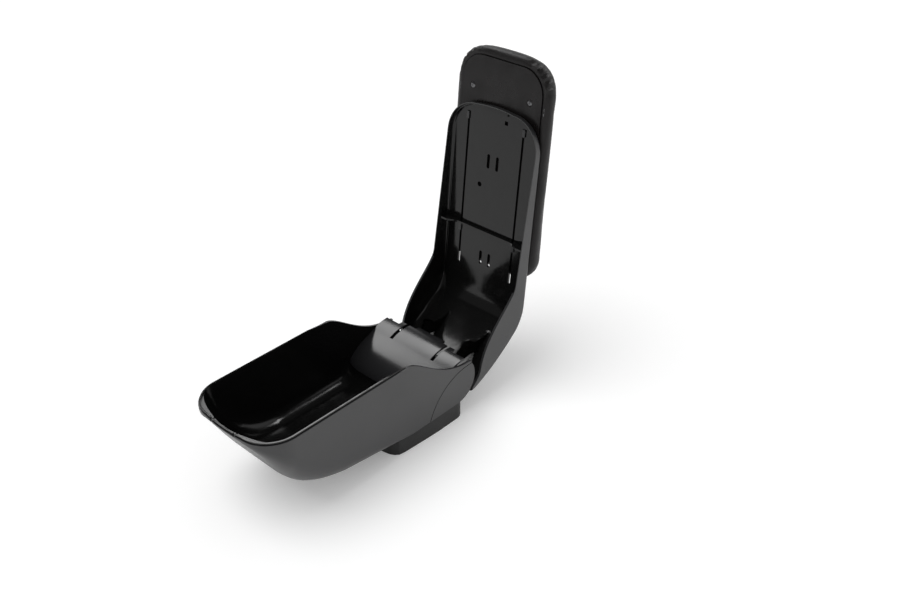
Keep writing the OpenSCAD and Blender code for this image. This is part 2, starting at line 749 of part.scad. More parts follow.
// A hook: flange in the plate's upper face, blade through roof and plate, foot under the roof
module hook(gap) {
    flange = [hook_len + 2*gap, hook_flange + 2*gap, hook_flange_t + gap];
    translate([0, 0, board_n - hook_flange_t/2]) cube(flange, center = true);
    translate([0, 0, (board_n - roof_under - seat_gap - hook_foot_t)/2])
        cube([hook_len + 2*gap, hook_blade + 2*gap, board_n + roof_under + seat_gap + hook_foot_t], center = true);
    translate([0, (hook_foot - hook_blade)/2, -roof_under - seat_gap - hook_foot_t/2])
        cube([hook_len, hook_foot, hook_foot_t], center = true);
}

module hook_places() {
    for (x = hook_at) for (j = [-1, 1]) translate([x - deck_x, j*guide_y, 0]) mirror([0, j < 0 ? 1 : 0, 0]) children();
}

module runner_hooks() color([0.1, 0.1, 0.1]) in_pad() hook_places() hook(0);

module slide_plate() color([0.13, 0.13, 0.14]) in_pad() difference() {
    translate([0, 0, plate_n]) linear_extrude(plate_t) pad_plan(plate_in);
    hook_places() hook(hook_gap);
    plate_screw_places() translate([0, 0, -over]) {
        cylinder(d = plate_screw_d + 2*plate_gap, h = plate_t + 2*over);
        cylinder(d = plate_head_d + 4*plate_gap, h = plate_head_t + over);
    }
}

module plate_screws() color([0.55, 0.55, 0.57]) in_pad() plate_screw_places() {
    cylinder(d = plate_head_d, h = plate_head_t);
    cylinder(d = plate_screw_d, h = plate_t + board_t - over);
}

module pad_board() color([0.55, 0.42, 0.28]) in_pad() difference() {
    translate([0, 0, board_n]) linear_extrude(board_t) pad_plan(skin_t + board_in);
    plate_screw_places() cylinder(d = plate_screw_d + 2*plate_gap, h = board_t + plate_t - over + plate_gap);
    staple_cuts();
}

// The foam is cored from below, in two rows of pockets
pocket_l = 42;
pocket_rib = 8;
pocket_n = 15;
pocket_side = 13.5;
pocket_from = 28;

module pad_foam() color([0.8, 0.78, 0.6]) in_pad() difference() {
    loft(pad_rings(skin_t, board_n));
    translate([0, 0, board_n - over]) linear_extrude(board_t + over) pad_plan(skin_t + board_in);
    for (i = [0:3]) for (j = [-1, 1]) mirror([0, j < 0 ? 1 : 0, 0])
        translate([pad_rear + pocket_from + i*(pocket_l + pocket_rib), pocket_rib/2, board_n])
            cube([pocket_l, pad_w/2 - pocket_side - pocket_rib/2, pocket_n - board_n]);
}

module pad_cover() color([0.17, 0.16, 0.16]) in_pad() difference() {
    loft(pad_rings(0, skin_n));
    loft(pad_rings(skin_t, board_n));
    translate([0, 0, skin_n - over]) linear_extrude(skin_t + 2*over) pad_plan(plate_in - border_gap);
    staple_cuts();
}

border_gap = 0.6;
staple_l = 8;
staple_t = 0.8;
staple_h = 3;
staple_gap = 0.1;
staple_in = 6;
staple_u_shares = [0.2, 0.4, 0.6, 0.8];

module staple_places() {
    for (k = staple_u_shares) for (j = [-1, 1])
        translate([pad_rear + k*pad_len, j*(pad_w/2 - staple_in), skin_n]) children();
}

module staple_cuts() {
    staple_places() cube([staple_l, staple_t, 2*staple_h] + 2*staple_gap*[1, 1, 1], center = true);
}

// Each staple is a thin wire bent to a U, pushed into the board
module cover_staples() color([0.7, 0.7, 0.7]) in_pad() staple_places() {
    translate([0, 0, staple_t/2]) cube([staple_l, staple_t, staple_t], center = true);
    for (i = [-1, 1]) translate([i*(staple_l - staple_t)/2, 0, staple_h/2])
        cube([staple_t, staple_t, staple_h], center = true);
}

tray();
rear_cap();
hinge_cover();
foot();
foot_screws();
cap_screws();
hinge_pin();
pin_rings();
cover_screws();
hinge_washers();
spacer_tube();
side_spacers();
runner_hooks();
lid_shell();
glide_strips();
slide_plate();
plate_screws();
pad_board();
pad_foam();
pad_cover();
cover_staples();
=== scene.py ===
"""Car centre armrest: the looks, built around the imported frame.

The storage box, its hinge fittings, the hinged lid and the sliding pad are each a class.
Sizes are in millimetres in the fields, and turn into metres when a mesh is made.
The lid and the pad are built closed and then swung open about the hinge pin.
"""

from __future__ import annotations

import logging
import math
from dataclasses import dataclass, field
from enum import Enum
from typing import Sequence

import bmesh
import bpy
import numpy as np
from mathutils import Matrix, Vector, noise

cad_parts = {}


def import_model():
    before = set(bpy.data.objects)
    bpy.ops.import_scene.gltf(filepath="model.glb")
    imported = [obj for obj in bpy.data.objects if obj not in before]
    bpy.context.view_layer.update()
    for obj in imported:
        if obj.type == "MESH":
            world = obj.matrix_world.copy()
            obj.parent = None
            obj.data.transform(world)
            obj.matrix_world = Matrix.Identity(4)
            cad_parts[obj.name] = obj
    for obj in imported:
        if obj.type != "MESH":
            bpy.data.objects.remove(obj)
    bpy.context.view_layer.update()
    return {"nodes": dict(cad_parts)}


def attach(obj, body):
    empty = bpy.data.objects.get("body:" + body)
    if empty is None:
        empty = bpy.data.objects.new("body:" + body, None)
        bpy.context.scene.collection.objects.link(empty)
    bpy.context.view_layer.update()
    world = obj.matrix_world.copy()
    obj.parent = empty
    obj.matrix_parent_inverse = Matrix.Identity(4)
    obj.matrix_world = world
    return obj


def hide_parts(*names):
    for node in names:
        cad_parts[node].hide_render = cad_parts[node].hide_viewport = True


LOG = logging.getLogger("armrest")
MM = 0.001
Point = tuple[float, float, float]
Outline = list[tuple[float, float]]


class Face(Enum):
    """Material slots of a moulding."""

    OUTSIDE = 0
    INSIDE = 1


class Carve(Enum):
    """Ways to join two solids."""

    ADD = "UNION"
    CUT = "DIFFERENCE"
    KEEP = "INTERSECT"


class Side(Enum):
    """The two mirrored sides of the armrest."""

    LEFT = 1
    RIGHT = -1


class Use(Enum):
    """What a lamp is for."""

    LIGHT = "light"
    MIRROR = "mirror"


# Finishes


def node(tree: bpy.types.NodeTree, kind: str, **sockets: object) -> bpy.types.Node:
    """Adds a shader node and sets its inputs.

    Args:
        tree: the material's node tree.
        kind: the node's Blender type.
        sockets: input names, with underscores for blanks, and their values.

    Returns:
        The new node.
    """
    made = tree.nodes.new(kind)
    for name, value in sockets.items():
        made.inputs[name.replace("_", " ")].default_value = value
    return made


def blank_material(name: str) -> tuple[bpy.types.Material, bpy.types.NodeTree, bpy.types.Node]:
    """Makes a material that holds one Principled shader.

    Args:
        name: the material's name.

    Returns:
        The material, its node tree and the shader.
    """
    material = bpy.data.materials.new(name)
    material.use_nodes = True
    tree = material.node_tree
    return material, tree, tree.nodes["Principled BSDF"]


def grain_bump(tree: bpy.types.NodeTree, height: bpy.types.NodeSocket, strength: float, depth_mm: float) -> bpy.types.Node:
    """Turns a height into a bump.

    Args:
        tree: the material's node tree.
        height: the socket that gives the height.
        strength: the bump's strength.
        depth_mm: how deep the relief is.

    Returns:
        The bump node.
    """
    bump = node(tree, "ShaderNodeBump", Strength=strength, Distance=depth_mm * MM)
    tree.links.new(height, bump.inputs["Height"])
    return bump


def surface_noise(tree: bpy.types.NodeTree, size_mm: float, detail: float = 2.0, stretch: Point = (1.0, 1.0, 1.0)) -> bpy.types.Node:
    """Adds noise with a given feature size on the object's own coordinates.

    Args:
        tree: the material's node tree.
        size_mm: the size of one feature.
        detail: the noise's octaves.
        stretch: how much each axis is compressed.

    Returns:
        The noise node.
    """
    place = tree.nodes.new("ShaderNodeTexCoord")
    spread = tree.nodes.new("ShaderNodeMapping")
    spread.inputs["Scale"].default_value = stretch
    tree.links.new(place.outputs["Object"], spread.inputs["Vector"])
    cloud = node(tree, "ShaderNodeTexNoise", Scale=1.0 / (size_mm * MM), Detail=detail)
    tree.links.new(spread.outputs["Vector"], cloud.inputs["Vector"])
    return cloud


def remap(tree: bpy.types.NodeTree, source: bpy.types.NodeSocket, low: float, high: float) -> bpy.types.NodeSocket:
    """Maps a noise value onto a range.

    Args:
        tree: the material's node tree.
        source: the value to map.
        low: the result for a low value.
        high: the result for a high value.

    Returns:
        The socket with the mapped value.
    """
    span = node(tree, "ShaderNodeMapRange", From_Min=0.3, From_Max=0.7, To_Min=low, To_Max=high)
    tree.links.new(source, span.inputs["Value"])
    return span.outputs["Result"]


@dataclass(frozen=True)
class Plastic:
    """Injection-moulded black plastic with a fine texture or a polish."""

    name: str
    colour: Point
    rough_low: float
    rough_high: float
    grain_mm: float
    grain_strength: float
    patch_mm: float = 60.0
    specular: float = 0.5
    wave_mm: float = 0.0
    wave_strength: float = 0.0

    def material(self) -> bpy.types.Material:
        """Builds the material: patchy roughness and a fine moulded grain."""
        material, tree, shader = blank_material(self.name)
        shader.inputs["Base Color"].default_value = (*self.colour, 1.0)
        shader.inputs["Specular IOR Level"].default_value = self.specular
        patches = surface_noise(tree, self.patch_mm, 4.0)
        tree.links.new(remap(tree, patches.outputs["Fac"], self.rough_low, self.rough_high), shader.inputs["Roughness"])
        grain = surface_noise(tree, self.grain_mm, 3.0)
        bump = grain_bump(tree, grain.outputs["Fac"], self.grain_strength, self.grain_mm * 0.25)
        tree.links.new(bump.outputs["Normal"], shader.inputs["Normal"])
        if self.wave_mm > 0:
            wave = surface_noise(tree, self.wave_mm, 2.0)
            flow = grain_bump(tree, wave.outputs["Fac"], self.wave_strength, self.wave_mm * 0.1)
            tree.links.new(flow.outputs["Normal"], bump.inputs["Normal"])
        return material


@dataclass(frozen=True)
class Leatherette:
    """Grained black leatherette with a soft sheen."""

    name: str
    colour: Point
    pebble_mm: float = 1.1
    pebble_strength: float = 0.35

    def material(self) -> bpy.types.Material:
        """Builds the material: pebbled cells, creases between them with painted shade in the colour, and a patchy
        polish.
        """
        material, tree, shader = blank_material(self.name)
        place = tree.nodes.new("ShaderNodeTexCoord")
        warp = surface_noise(tree, self.pebble_mm * 2.5, 2.0)
        mix = node(tree, "ShaderNodeMixRGB", Fac=0.0006)
        mix.blend_type = "ADD"
        tree.links.new(place.outputs["Object"], mix.inputs["Color1"])
        tree.links.new(warp.outputs["Color"], mix.inputs["Color2"])
        cells = node(tree, "ShaderNodeTexVoronoi", Scale=1.0 / (self.pebble_mm * MM))
        cells.feature = "DISTANCE_TO_EDGE"
        tree.links.new(mix.outputs["Color"], cells.inputs["Vector"])
        relief = node(tree, "ShaderNodeMapRange", From_Min=0.0, From_Max=0.16, To_Min=0.0, To_Max=1.0)
        tree.links.new(cells.outputs["Distance"], relief.inputs["Value"])
        bump = grain_bump(tree, relief.outputs["Result"], self.pebble_strength, 0.12)
        tree.links.new(bump.outputs["Normal"], shader.inputs["Normal"])
        # Painted shade: the base colour follows the relief, darker in the creases between the pebbles and lighter on
        # their crowns.
        tone = node(tree, "ShaderNodeMixRGB")
        tone.inputs["Color1"].default_value = (*(c * 0.75 for c in self.colour), 1.0)
        tone.inputs["Color2"].default_value = (*(c * 1.25 for c in self.colour), 1.0)
        tree.links.new(relief.outputs["Result"], tone.inputs["Fac"])
        tree.links.new(tone.outputs["Color"], shader.inputs["Base Color"])
        patches = surface_noise(tree, 35.0, 4.0)
        tree.links.new(remap(tree, patches.outputs["Fac"], 0.36, 0.5), shader.inputs["Roughness"])
        shader.inputs["Specular IOR Level"].default_value = 0.26
        return material


@dataclass(frozen=True)
class Steel:
    """Drawn or plated steel."""

    name: str
    colour: Point
    roughness: float

    def material(self) -> bpy.types.Material:
        """Builds the material: metal with fine streaks."""
        material, tree, shader = blank_material(self.name)
        shader.inputs["Base Color"].default_value = (*self.colour, 1.0)
        shader.inputs["Metallic"].default_value = 1.0
        streaks = surface_noise(tree, 0.6, 3.0, (1.0, 8.0, 1.0))
        tree.links.new(
            remap(tree, streaks.outputs["Fac"], self.roughness * 0.8, self.roughness * 1.2), shader.inputs["Roughness"]
        )
        return material


@dataclass(frozen=True)
class Fibre:
    """Pressed fibreboard or foam: a matte, mottled filler."""

    name: str
    light: Point
    dark: Point
    fleck_mm: float

    def material(self) -> bpy.types.Material:
        """Builds the material: two tones of fleck with a rough relief."""
        material, tree, shader = blank_material(self.name)
        fleck = surface_noise(tree, self.fleck_mm, 5.0)
        tone = node(tree, "ShaderNodeMixRGB")
        tone.inputs["Color1"].default_value = (*self.dark, 1.0)
        tone.inputs["Color2"].default_value = (*self.light, 1.0)
        tree.links.new(remap(tree, fleck.outputs["Fac"], 0.0, 1.0), tone.inputs["Fac"])
        tree.links.new(tone.outputs["Color"], shader.inputs["Base Color"])
        shader.inputs["Roughness"].default_value = 0.9
        bump = grain_bump(tree, fleck.outputs["Fac"], 0.4, 0.3)
        tree.links.new(bump.outputs["Normal"], shader.inputs["Normal"])
        return material


@dataclass
class Palette:
    """All finishes, each made once."""

    satin: bpy.types.Material = field(init=False)
    gloss: bpy.types.Material = field(init=False)
    cover: bpy.types.Material = field(init=False)
    foot: bpy.types.Material = field(init=False)
    plate: bpy.types.Material = field(init=False)
    glide: bpy.types.Material = field(init=False)
    leatherette: bpy.types.Material = field(init=False)
    zinc: bpy.types.Material = field(init=False)
    bright: bpy.types.Material = field(init=False)
    dark_steel: bpy.types.Material = field(init=False)
    board: bpy.types.Material = field(init=False)
    foam: bpy.types.Material = field(init=False)

    def __post_init__(self) -> None:
        """Builds every material."""
        black = (0.011, 0.011, 0.012)
        self.satin = Plastic("satin plastic", (0.02, 0.02, 0.021), 0.32, 0.42, 0.45, 0.14, specular=0.62).material()
        self.gloss = Plastic("gloss plastic", (0.005, 0.005, 0.005), 0.08, 0.2, 2.0, 0.02, specular=0.34, wave_mm=28.0, wave_strength=0.12).material()
        self.cover = Plastic("cover plastic", (0.016, 0.016, 0.017), 0.16, 0.23, 0.5, 0.1, specular=0.36).material()
        self.foot = Plastic("foot plastic", (0.012, 0.012, 0.012), 0.45, 0.6, 1.0, 0.8, specular=0.4).material()
        self.plate = Plastic("plate plastic", (0.006, 0.005, 0.005), 0.2, 0.5, 0.7, 0.15, 26.0, 0.24).material()
        self.glide = Plastic("glide plastic", black, 0.3, 0.4, 0.6, 0.05).material()
        self.leatherette = Leatherette("leatherette", (0.011, 0.01, 0.01)).material()
        self.zinc = Steel("zinc plated steel", (0.42, 0.42, 0.43), 0.32).material()
        self.bright = Steel("bright steel", (0.6, 0.6, 0.61), 0.2).material()
        self.dark_steel = Steel("dark plated steel", (0.16, 0.16, 0.165), 0.28).material()
        self.board = Fibre("fibreboard", (0.36, 0.25, 0.16), (0.22, 0.15, 0.09), 1.4).material()
        self.foam = Fibre("foam", (0.62, 0.6, 0.46), (0.5, 0.48, 0.36), 1.0).material()

    def moulding(self) -> list[bpy.types.Material]:
        """Gives the slots of a moulding: satin outside, gloss inside."""
        return [self.satin, self.gloss]


# Mesh tools


def bezier(points: Sequence[Sequence[float]], count: int) -> np.ndarray:
    """Samples a cubic curve.

    Args:
        points: its four control points.
        count: how many samples.

    Returns:
        An array of the samples, ends included.
    """
    t = np.linspace(0.0, 1.0, count)[:, None]
    a, b, c, d = (np.array(p, float) for p in points)
    return (1 - t) ** 3 * a + 3 * t * (1 - t) ** 2 * b + 3 * t * t * (1 - t) * c + t**3 * d


def arc(centre: Sequence[float], radius: float, start: float, end: float, count: int) -> list[tuple[float, float]]:
    """Samples an arc of a circle.

    Args:
        centre: the circle's centre.
        radius: its radius.
        start: the first angle in degrees.
        end: the last angle in degrees.
        count: how many samples.

    Returns:
        The points, ends included.
    """
    angles = np.radians(np.linspace(start, end, count))
    return [(centre[0] + radius * math.cos(a), centre[1] + radius * math.sin(a)) for a in angles]


def mesh_object(name: str, points: np.ndarray, faces: list, finishes: list, slot: Face = Face.OUTSIDE) -> bpy.types.Object:
    """Makes a mesh object from points in millimetres.

    Args:
        name: the object's name.
        points: the vertices.
        faces: the faces as lists of vertex numbers.
        finishes: the materials.
        slot: the slot that the faces take.

    Returns:
        The object, with its faces turned outwards.
    """
    mesh = bpy.data.meshes.new(name)
    mesh.from_pydata((np.asarray(points, float) * MM).tolist(), [], faces)
    for finish in finishes:
        mesh.materials.append(finish)
    made = bpy.data.objects.new(name, mesh)
    bpy.context.scene.collection.objects.link(made)
    work = bmesh.new()
    work.from_mesh(mesh)
    bmesh.ops.recalc_face_normals(work, faces=work.faces)
    for face in work.faces:
        face.material_index = slot.value
    work.to_mesh(mesh)
    work.free()
    return made


def loft(name: str, rings: Sequence[np.ndarray], finishes: list, slot: Face = Face.OUTSIDE) -> bpy.types.Object:
    """Makes a solid through closed rings.

    Args:
        name: the object's name.
        rings: closed rings of the same number of points.
        finishes: the materials.
        slot: the slot that the faces take.

    Returns:
        The solid, capped at both ends.
    """
    size = len(rings[0])
    faces: list = []
    for i in range(len(rings) - 1):
        for j in range(size):
            k = (j + 1) % size
            faces.append([i * size + j, i * size + k, (i + 1) * size + k, (i + 1) * size + j])
    faces.append(list(range(size)))
    faces.append([(len(rings) - 1) * size + j for j in range(size)])
    return mesh_object(name, np.concatenate(rings), faces, finishes, slot)


def slab(name: str, outline: Sequence, low: float, high: float, finishes: list, slot: Face = Face.INSIDE) -> bpy.types.Object:
    """Extrudes a side view outline along Y.

    Args:
        name: the object's name.
        outline: points (x, z).
        low: the first Y.
        high: the last Y.
        finishes: the materials.
        slot: the slot that the faces take.

    Returns:
        The solid.
    """
    rings = [np.array([(x, y, z) for x, z in outline]) for y in (low, high)]
    return loft(name, rings, finishes, slot)


def upright(name: str, outline: Sequence, low: float, high: float, finishes: list, slot: Face = Face.INSIDE) -> bpy.types.Object:
    """Extrudes a plan outline along Z.

    Args:
        name: the object's name.
        outline: points (x, y).
        low: the first Z.
        high: the last Z.
        finishes: the materials.
        slot: the slot that the faces take.

    Returns:
        The solid.
    """
    rings = [np.array([(x, y, z) for x, y in outline]) for z in (low, high)]
    return loft(name, rings, finishes, slot)


def block(name: str, low: Point, high: Point, finishes: list, slot: Face = Face.INSIDE) -> bpy.types.Object:
    """Makes a box between two corners.

    Args:
        name: the object's name.
        low: the lowest corner.
        high: the highest corner.
        finishes: the materials.
        slot: the slot that the faces take.

    Returns:
        The box.
    """
    plan = [(low[0], low[1]), (high[0], low[1]), (high[0], high[1]), (low[0], high[1])]
    return upright(name, plan, low[2], high[2], finishes, slot)


def lathe_y(name: str, centre: tuple[float, float], radius: float, low: float, high: float, finishes: list, count: int = 48) -> bpy.types.Object:
    """Makes a round bar along Y.

    Args:
        name: the object's name.
        centre: the axis as (x, z).
        radius: the bar's radius.
        low: the first Y.
        high: the last Y.
        finishes: the materials.
        count: how many sides.

    Returns:
        The bar.
    """
    return slab(name, arc(centre, radius, 0.0, 360.0 * (count - 1) / count, count), low, high, finishes)


def bake_modifiers(target: bpy.types.Object) -> None:
    """Applies the modifiers of an object to its mesh."""
    graph = bpy.context.evaluated_depsgraph_get()
    result = bpy.data.meshes.new_from_object(target.evaluated_get(graph))
    old = target.data
    target.modifiers.clear()
    target.data = result
    bpy.data.meshes.remove(old)


def carve(target: bpy.types.Object, tool: bpy.types.Object, how: Carve, keep_tool: bool = False) -> None:
    """Joins a tool solid with a target solid.

    Args:
        target: the solid that changes.
        tool: the other solid.
        how: add, cut or keep what both share.
        keep_tool: whether the tool stays in the scene.
    """
    change = target.modifiers.new("carve", "BOOLEAN")
    change.operation = how.value
    change.solver = "EXACT"
    change.object = tool
    bake_modifiers(target)
    if not keep_tool:
        discard(tool)


def discard(thing: bpy.types.Object) -> None:
    """Removes an object and its mesh."""
    mesh = thing.data
    bpy.data.objects.remove(thing)
    bpy.data.meshes.remove(mesh)


def soften(target: bpy.types.Object, width_mm: float, angle: float = 32.0, segments: int = 2) -> None:
    """Rounds the sharp edges of a moulding and shades it smooth.

    Args:
        target: the object.
        width_mm: the width of the rounding.
        angle: the least angle in degrees of an edge that is rounded.
        segments: the number of strips in the rounding.
    """
    work = bmesh.new()
    work.from_mesh(target.data)
    bmesh.ops.remove_doubles(work, verts=work.verts, dist=0.02 * MM)
    bmesh.ops.dissolve_degenerate(work, edges=work.edges, dist=0.02 * MM)
    work.to_mesh(target.data)
    work.free()
    if width_mm > 0:
        change = target.modifiers.new("round", "BEVEL")
        change.width = width_mm * MM
        change.segments = segments
        change.limit_method = "ANGLE"
        change.angle_limit = math.radians(angle)
        change.use_clamp_overlap = True
    bake_modifiers(target)
    shade(target, angle)


def shade(target: bpy.types.Object, angle: float) -> None:
    """Shades smooth, with an edge where faces meet at more than an angle.

    Args:
        target: the object.
        angle: the angle in degrees.
    """
    target.data.polygons.foreach_set("use_smooth", [True] * len(target.data.polygons))
    target.data.set_sharp_from_angle(angle=math.radians(angle))
    weights = target.modifiers.new("weights", "WEIGHTED_NORMAL")
    weights.keep_sharp = True
    weights.weight = 60
    bake_modifiers(target)


def publish(piece: bpy.types.Object, body: str, replaces: Sequence[str] = ()) -> bpy.types.Object:
    """Hands a finished piece to the frame.

    Args:
        piece: the object.
        body: the CAD body that carries it.
        replaces: the CAD nodes that it stands for.

    Returns:
        The piece.
    """
    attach(piece, body)
    if replaces:
        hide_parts(*replaces)
    LOG.info("%s: %d faces on %s", piece.name, len(piece.data.polygons), body)
    return piece


# The form that box and lid share


@dataclass
class Form:
    """Plan, rim and hinge of the armrest, shared by box and lid."""

    half_width: float = 62.0
    front: float = 214.0
    corner: float = 36.0
    bow: float = 2.0
    rim: float = 110.0
    wall: float = 2.6
    floor: float = 21.0
    pivot: tuple[float, float] = (-60.0, 48.3)
    crest: float = 32.0
    dip: float = 42.0
    open_angle: float = 100.0
    step: float = 5.0

    @property
    def turn(self) -> float:
        """Where the straight side ends and the corner begins."""
        return self.front - self.corner

    @property
    def flat(self) -> float:
        """Half width of the front between the corners."""
        return self.half_width - self.corner

    def nose_stations(self, inset: float) -> list[tuple[float, float]]:
        """Stations round the corner and along the front.

        Args:
            inset: how far they lie inside the outer outline.

        Returns:
            Points (x, half width).
        """
        corner = self.corner - inset
        turned = [
            (self.turn + corner * math.sin(a), self.flat + corner * math.cos(a))
            for a in np.radians(np.linspace(0.0, 90.0, 19))
        ]
        across = [
            (self.front - inset + self.bow * (1 - k * k), self.flat * k)
            for k in (0.92, 0.84, 0.74, 0.62, 0.5, 0.38, 0.26, 0.14, 0.05)
        ]
        return turned + across

    def straight_stations(self, rear: float, inset: float) -> list[tuple[float, float]]:
        """Stations along the straight side, at the first one the rear."""
        count = max(2, int((self.turn - rear) / self.step))
        return [(x, self.half_width - inset) for x in np.linspace(rear, self.turn, count, endpoint=False)]

    def plan(self, rear: float, inset: float) -> list[tuple[float, float]]:
        """Closed plan outline from the rear round the front and back.

        Args:
            rear: the X at which it starts.
            inset: how far it lies inside the outer outline.

        Returns:
            Points (x, y).
        """
        half = self.straight_stations(rear, inset) + self.nose_stations(inset)
        return [(x, -w) for x, w in half] + [(x, w) for x, w in reversed(half)]

    def underside(self, x: float) -> float:
        """Height of the box's underside at x."""
        rise = self.rim - self.floor
        line = bezier(
            [
                (self.front + self.bow, self.rim),
                (0.833 * self.front, self.floor + 0.418 * rise),
                (0.883 * self.front, self.floor + 0.09 * rise),
                (0.548 * self.front, self.floor),
            ],
            240,
        )[::-1]
        return float(np.interp(x, line[:, 0], line[:, 1]))

    def dip_line(self, count: int = 40) -> np.ndarray:
        """Side view of the edge that dips from the crest to the hinge, as points (x, z)."""
        run = self.crest - self.pivot[0]
        low = self.rim - self.dip
        return bezier(
            [
                (self.crest, self.rim),
                (self.crest - 0.2 * run, self.rim),
                (self.pivot[0] + 0.48 * run, low),
                (self.pivot[0], low),
            ],
            count,
        )

    def edge_radius(self, x: float) -> float:
        """Rounding of the box's lower edge at x, small at the rear and large at the nose."""
        start = 0.123 * self.front
        return 0.8 + 34.2 * min(1.0, max(0.0, (x - start) / (self.turn - start)))

    def swing(self) -> Matrix:
        """Turns the closed lid to its open rest position."""
        pin = Vector((self.pivot[0] * MM, 0.0, self.pivot[1] * MM))
        turn = Matrix.Rotation(math.radians(-self.open_angle), 4, "Y")
        return Matrix.Translation(pin) @ turn @ Matrix.Translation(-pin)


def u_ring(x: float, w: float, top: float, bottom: float, radius: float) -> np.ndarray:
    """A ring of a trough: down the left side, along the bottom and up the right side.

    Args:
        x: where the ring lies.
        w: half width.
        top: height of the open top.
        bottom: height of the bottom.
        radius: rounding of the lower edges.

    Returns:
        The ring's points.
    """
    r = min(radius, 0.8 * w, 0.6 * (top - bottom))
    side = [(w, z) for z in np.linspace(top, bottom + r, 14, endpoint=False)]
    edge = [(w - r + r * math.cos(a), bottom + r - r * math.sin(a)) for a in np.linspace(0.0, math.pi / 2, 10)]
    middle = [(y, bottom) for y in np.linspace(w - r, 0.0, 8, endpoint=False)[1:]]
    half = side + edge + middle
    points = half + [(0.0, bottom)] + [(-y, z) for y, z in reversed(half)]
    return np.array([(x, y, z) for y, z in points])


@dataclass
class StorageBox:
    """The storage box with its rim lip, latch tongue, floor, hinge ears and rear chassis."""

    form: Form
    palette: Palette
    seam_radius: float = 64.5
    tub_round: float = 17.0
    tub_rear: float = 7.3
    web: tuple[float, float] = (2.0, 4.6)
    boss_places: tuple[float, float] = (-41.0, 42.0)
    lip_height: float = 2.4
    lip_inset: float = 1.1
    lip_thickness: float = 1.5
    slit_y: float = 17.0
    slit_width: float = 2.2
    slit_depth: float = 14.0
    ear_y: float = 50.0
    ear_thickness: float = 4.0
    ear_radius: float = 9.0
    chassis: tuple[float, float] = (23.9, 26.9)
    chassis_rear: float = -44.0

    def outer(self) -> bpy.types.Object:
        """Builds the outer solid of the trough."""
        form = self.form
        rings = []
        for x, w in form.straight_stations(-90.0, 0.0) + form.nose_stations(0.0):
            bottom = min(form.underside(x), form.rim - 0.6)
            rings.append(u_ring(x, w, form.rim, bottom, form.edge_radius(x)))
        return loft("tray_shell", rings, self.palette.moulding(), Face.OUTSIDE)

    def cavity(self) -> bpy.types.Object:
        """Builds the tub: a cove at its rear, wide fillets along its floor, a rising nose."""
        form = self.form
        floor, cove = form.floor + form.wall, self.tub_round
        width = form.half_width - form.wall
        rings = []
        for a in np.radians(np.linspace(0.0, 90.0, 13)):
            x, bottom = self.tub_rear + cove * (1 - math.cos(a)), floor + cove * (1 - math.sin(a))
            rings.append(u_ring(x, width, form.rim + 60.0, bottom, self.tub_round))
        start = self.tub_rear + cove
        for x, w in form.straight_stations(start, form.wall)[1:] + form.nose_stations(form.wall):
            bottom = min(form.underside(x + form.wall) + form.wall, form.rim - 0.6)
            radius = max(self.tub_round, form.edge_radius(x) - form.wall)
            rings.append(u_ring(x, w, form.rim + 60.0, bottom, radius))
        return loft("cavity", rings, self.palette.moulding(), Face.INSIDE)

    def hinge_room(self) -> bpy.types.Object:
        """Builds the space between the tub and the rear cap."""
        form = self.form
        width = form.half_width - form.wall
        return block("hinge_room", (-120.0, -width, form.floor + form.wall), (self.tub_rear, width, 200.0), self.palette.moulding())

    def dip(self) -> bpy.types.Object:
        """Builds the cutter for the S shape of both side walls."""
        form = self.form
        far = 80.0
        tip = (form.pivot[0] - 5.0, form.rim - form.dip - 1.4)
        outline = [(form.crest + 2 * far, form.rim + 0.02)]
        outline += [tuple(p) for p in form.dip_line()]
        outline += [tip, (tip[0], form.pivot[1]), (tip[0] - far, form.pivot[1])]
        outline += [(tip[0] - far, form.rim + far), (form.crest + 2 * far, form.rim + far)]
        return slab("dip", outline, -90.0, 90.0, self.palette.moulding(), Face.OUTSIDE)

    def lip(self) -> bpy.types.Object:
        """Builds the locating lip that stands on the rim."""
        form = self.form
        low = form.rim - 1.0
        high = form.rim + self.lip_height
        outer = upright("tray_lip", form.plan(form.crest + 1.0, self.lip_inset), low, high, self.palette.moulding())
        inner = upright("lip_cut", form.plan(form.crest - 4.0, self.lip_inset + self.lip_thickness), low - 1.0, high + 1.0, self.palette.moulding())
        carve(outer, inner, Carve.CUT)
        start, end = form.crest - 5.0, form.crest + 26.0
        fade = [(start, high + 1.0), (start, form.rim), (start + 6.0, form.rim), (end, high + 0.05), (end, high + 1.0)]
        carve(outer, slab("lip_fade", fade, -90.0, 90.0, self.palette.moulding()), Carve.CUT)
        return outer

    def rear_parts(self) -> list[bpy.types.Object]:
        """Builds the chassis floor, its step and both hinge ears."""
        finishes = self.palette.moulding()
        inside = self.form.half_width - self.form.wall - 0.3
        low, high = self.chassis
        px, pz = self.form.pivot
        parts = [
            block("chassis", (self.chassis_rear, -inside, low), (self.web[1], inside, high), finishes),
            block("web", (self.web[0], -inside, self.form.floor + 1.0), (self.web[1] - 0.05, inside, high - 0.05), finishes),
        ]
        for side in Side:
            near = side.value * self.ear_y
            far = side.value * (self.ear_y + self.ear_thickness)
            web = [(px - self.ear_radius + 0.3, pz), (self.chassis_rear, low + 0.1), (self.web[0] + 0.5, low + 0.1)]
            web += [(self.web[0] + 0.5, low + 16.0), (px + self.ear_radius - 1.0, pz + 4.0)]
            parts.append(slab("ear_web", web, min(near, far), max(near, far), finishes))
            parts.append(lathe_y("ear_boss", (px, pz), self.ear_radius, min(near, far) + 0.05, max(near, far) - 0.05, finishes))
            centre = (self.boss_places[0], side.value * self.boss_places[1])
            parts.append(upright("screw_boss", arc(centre, 4.5, 0.0, 345.0, 24), low + 0.1, 35.0, finishes))
        return parts

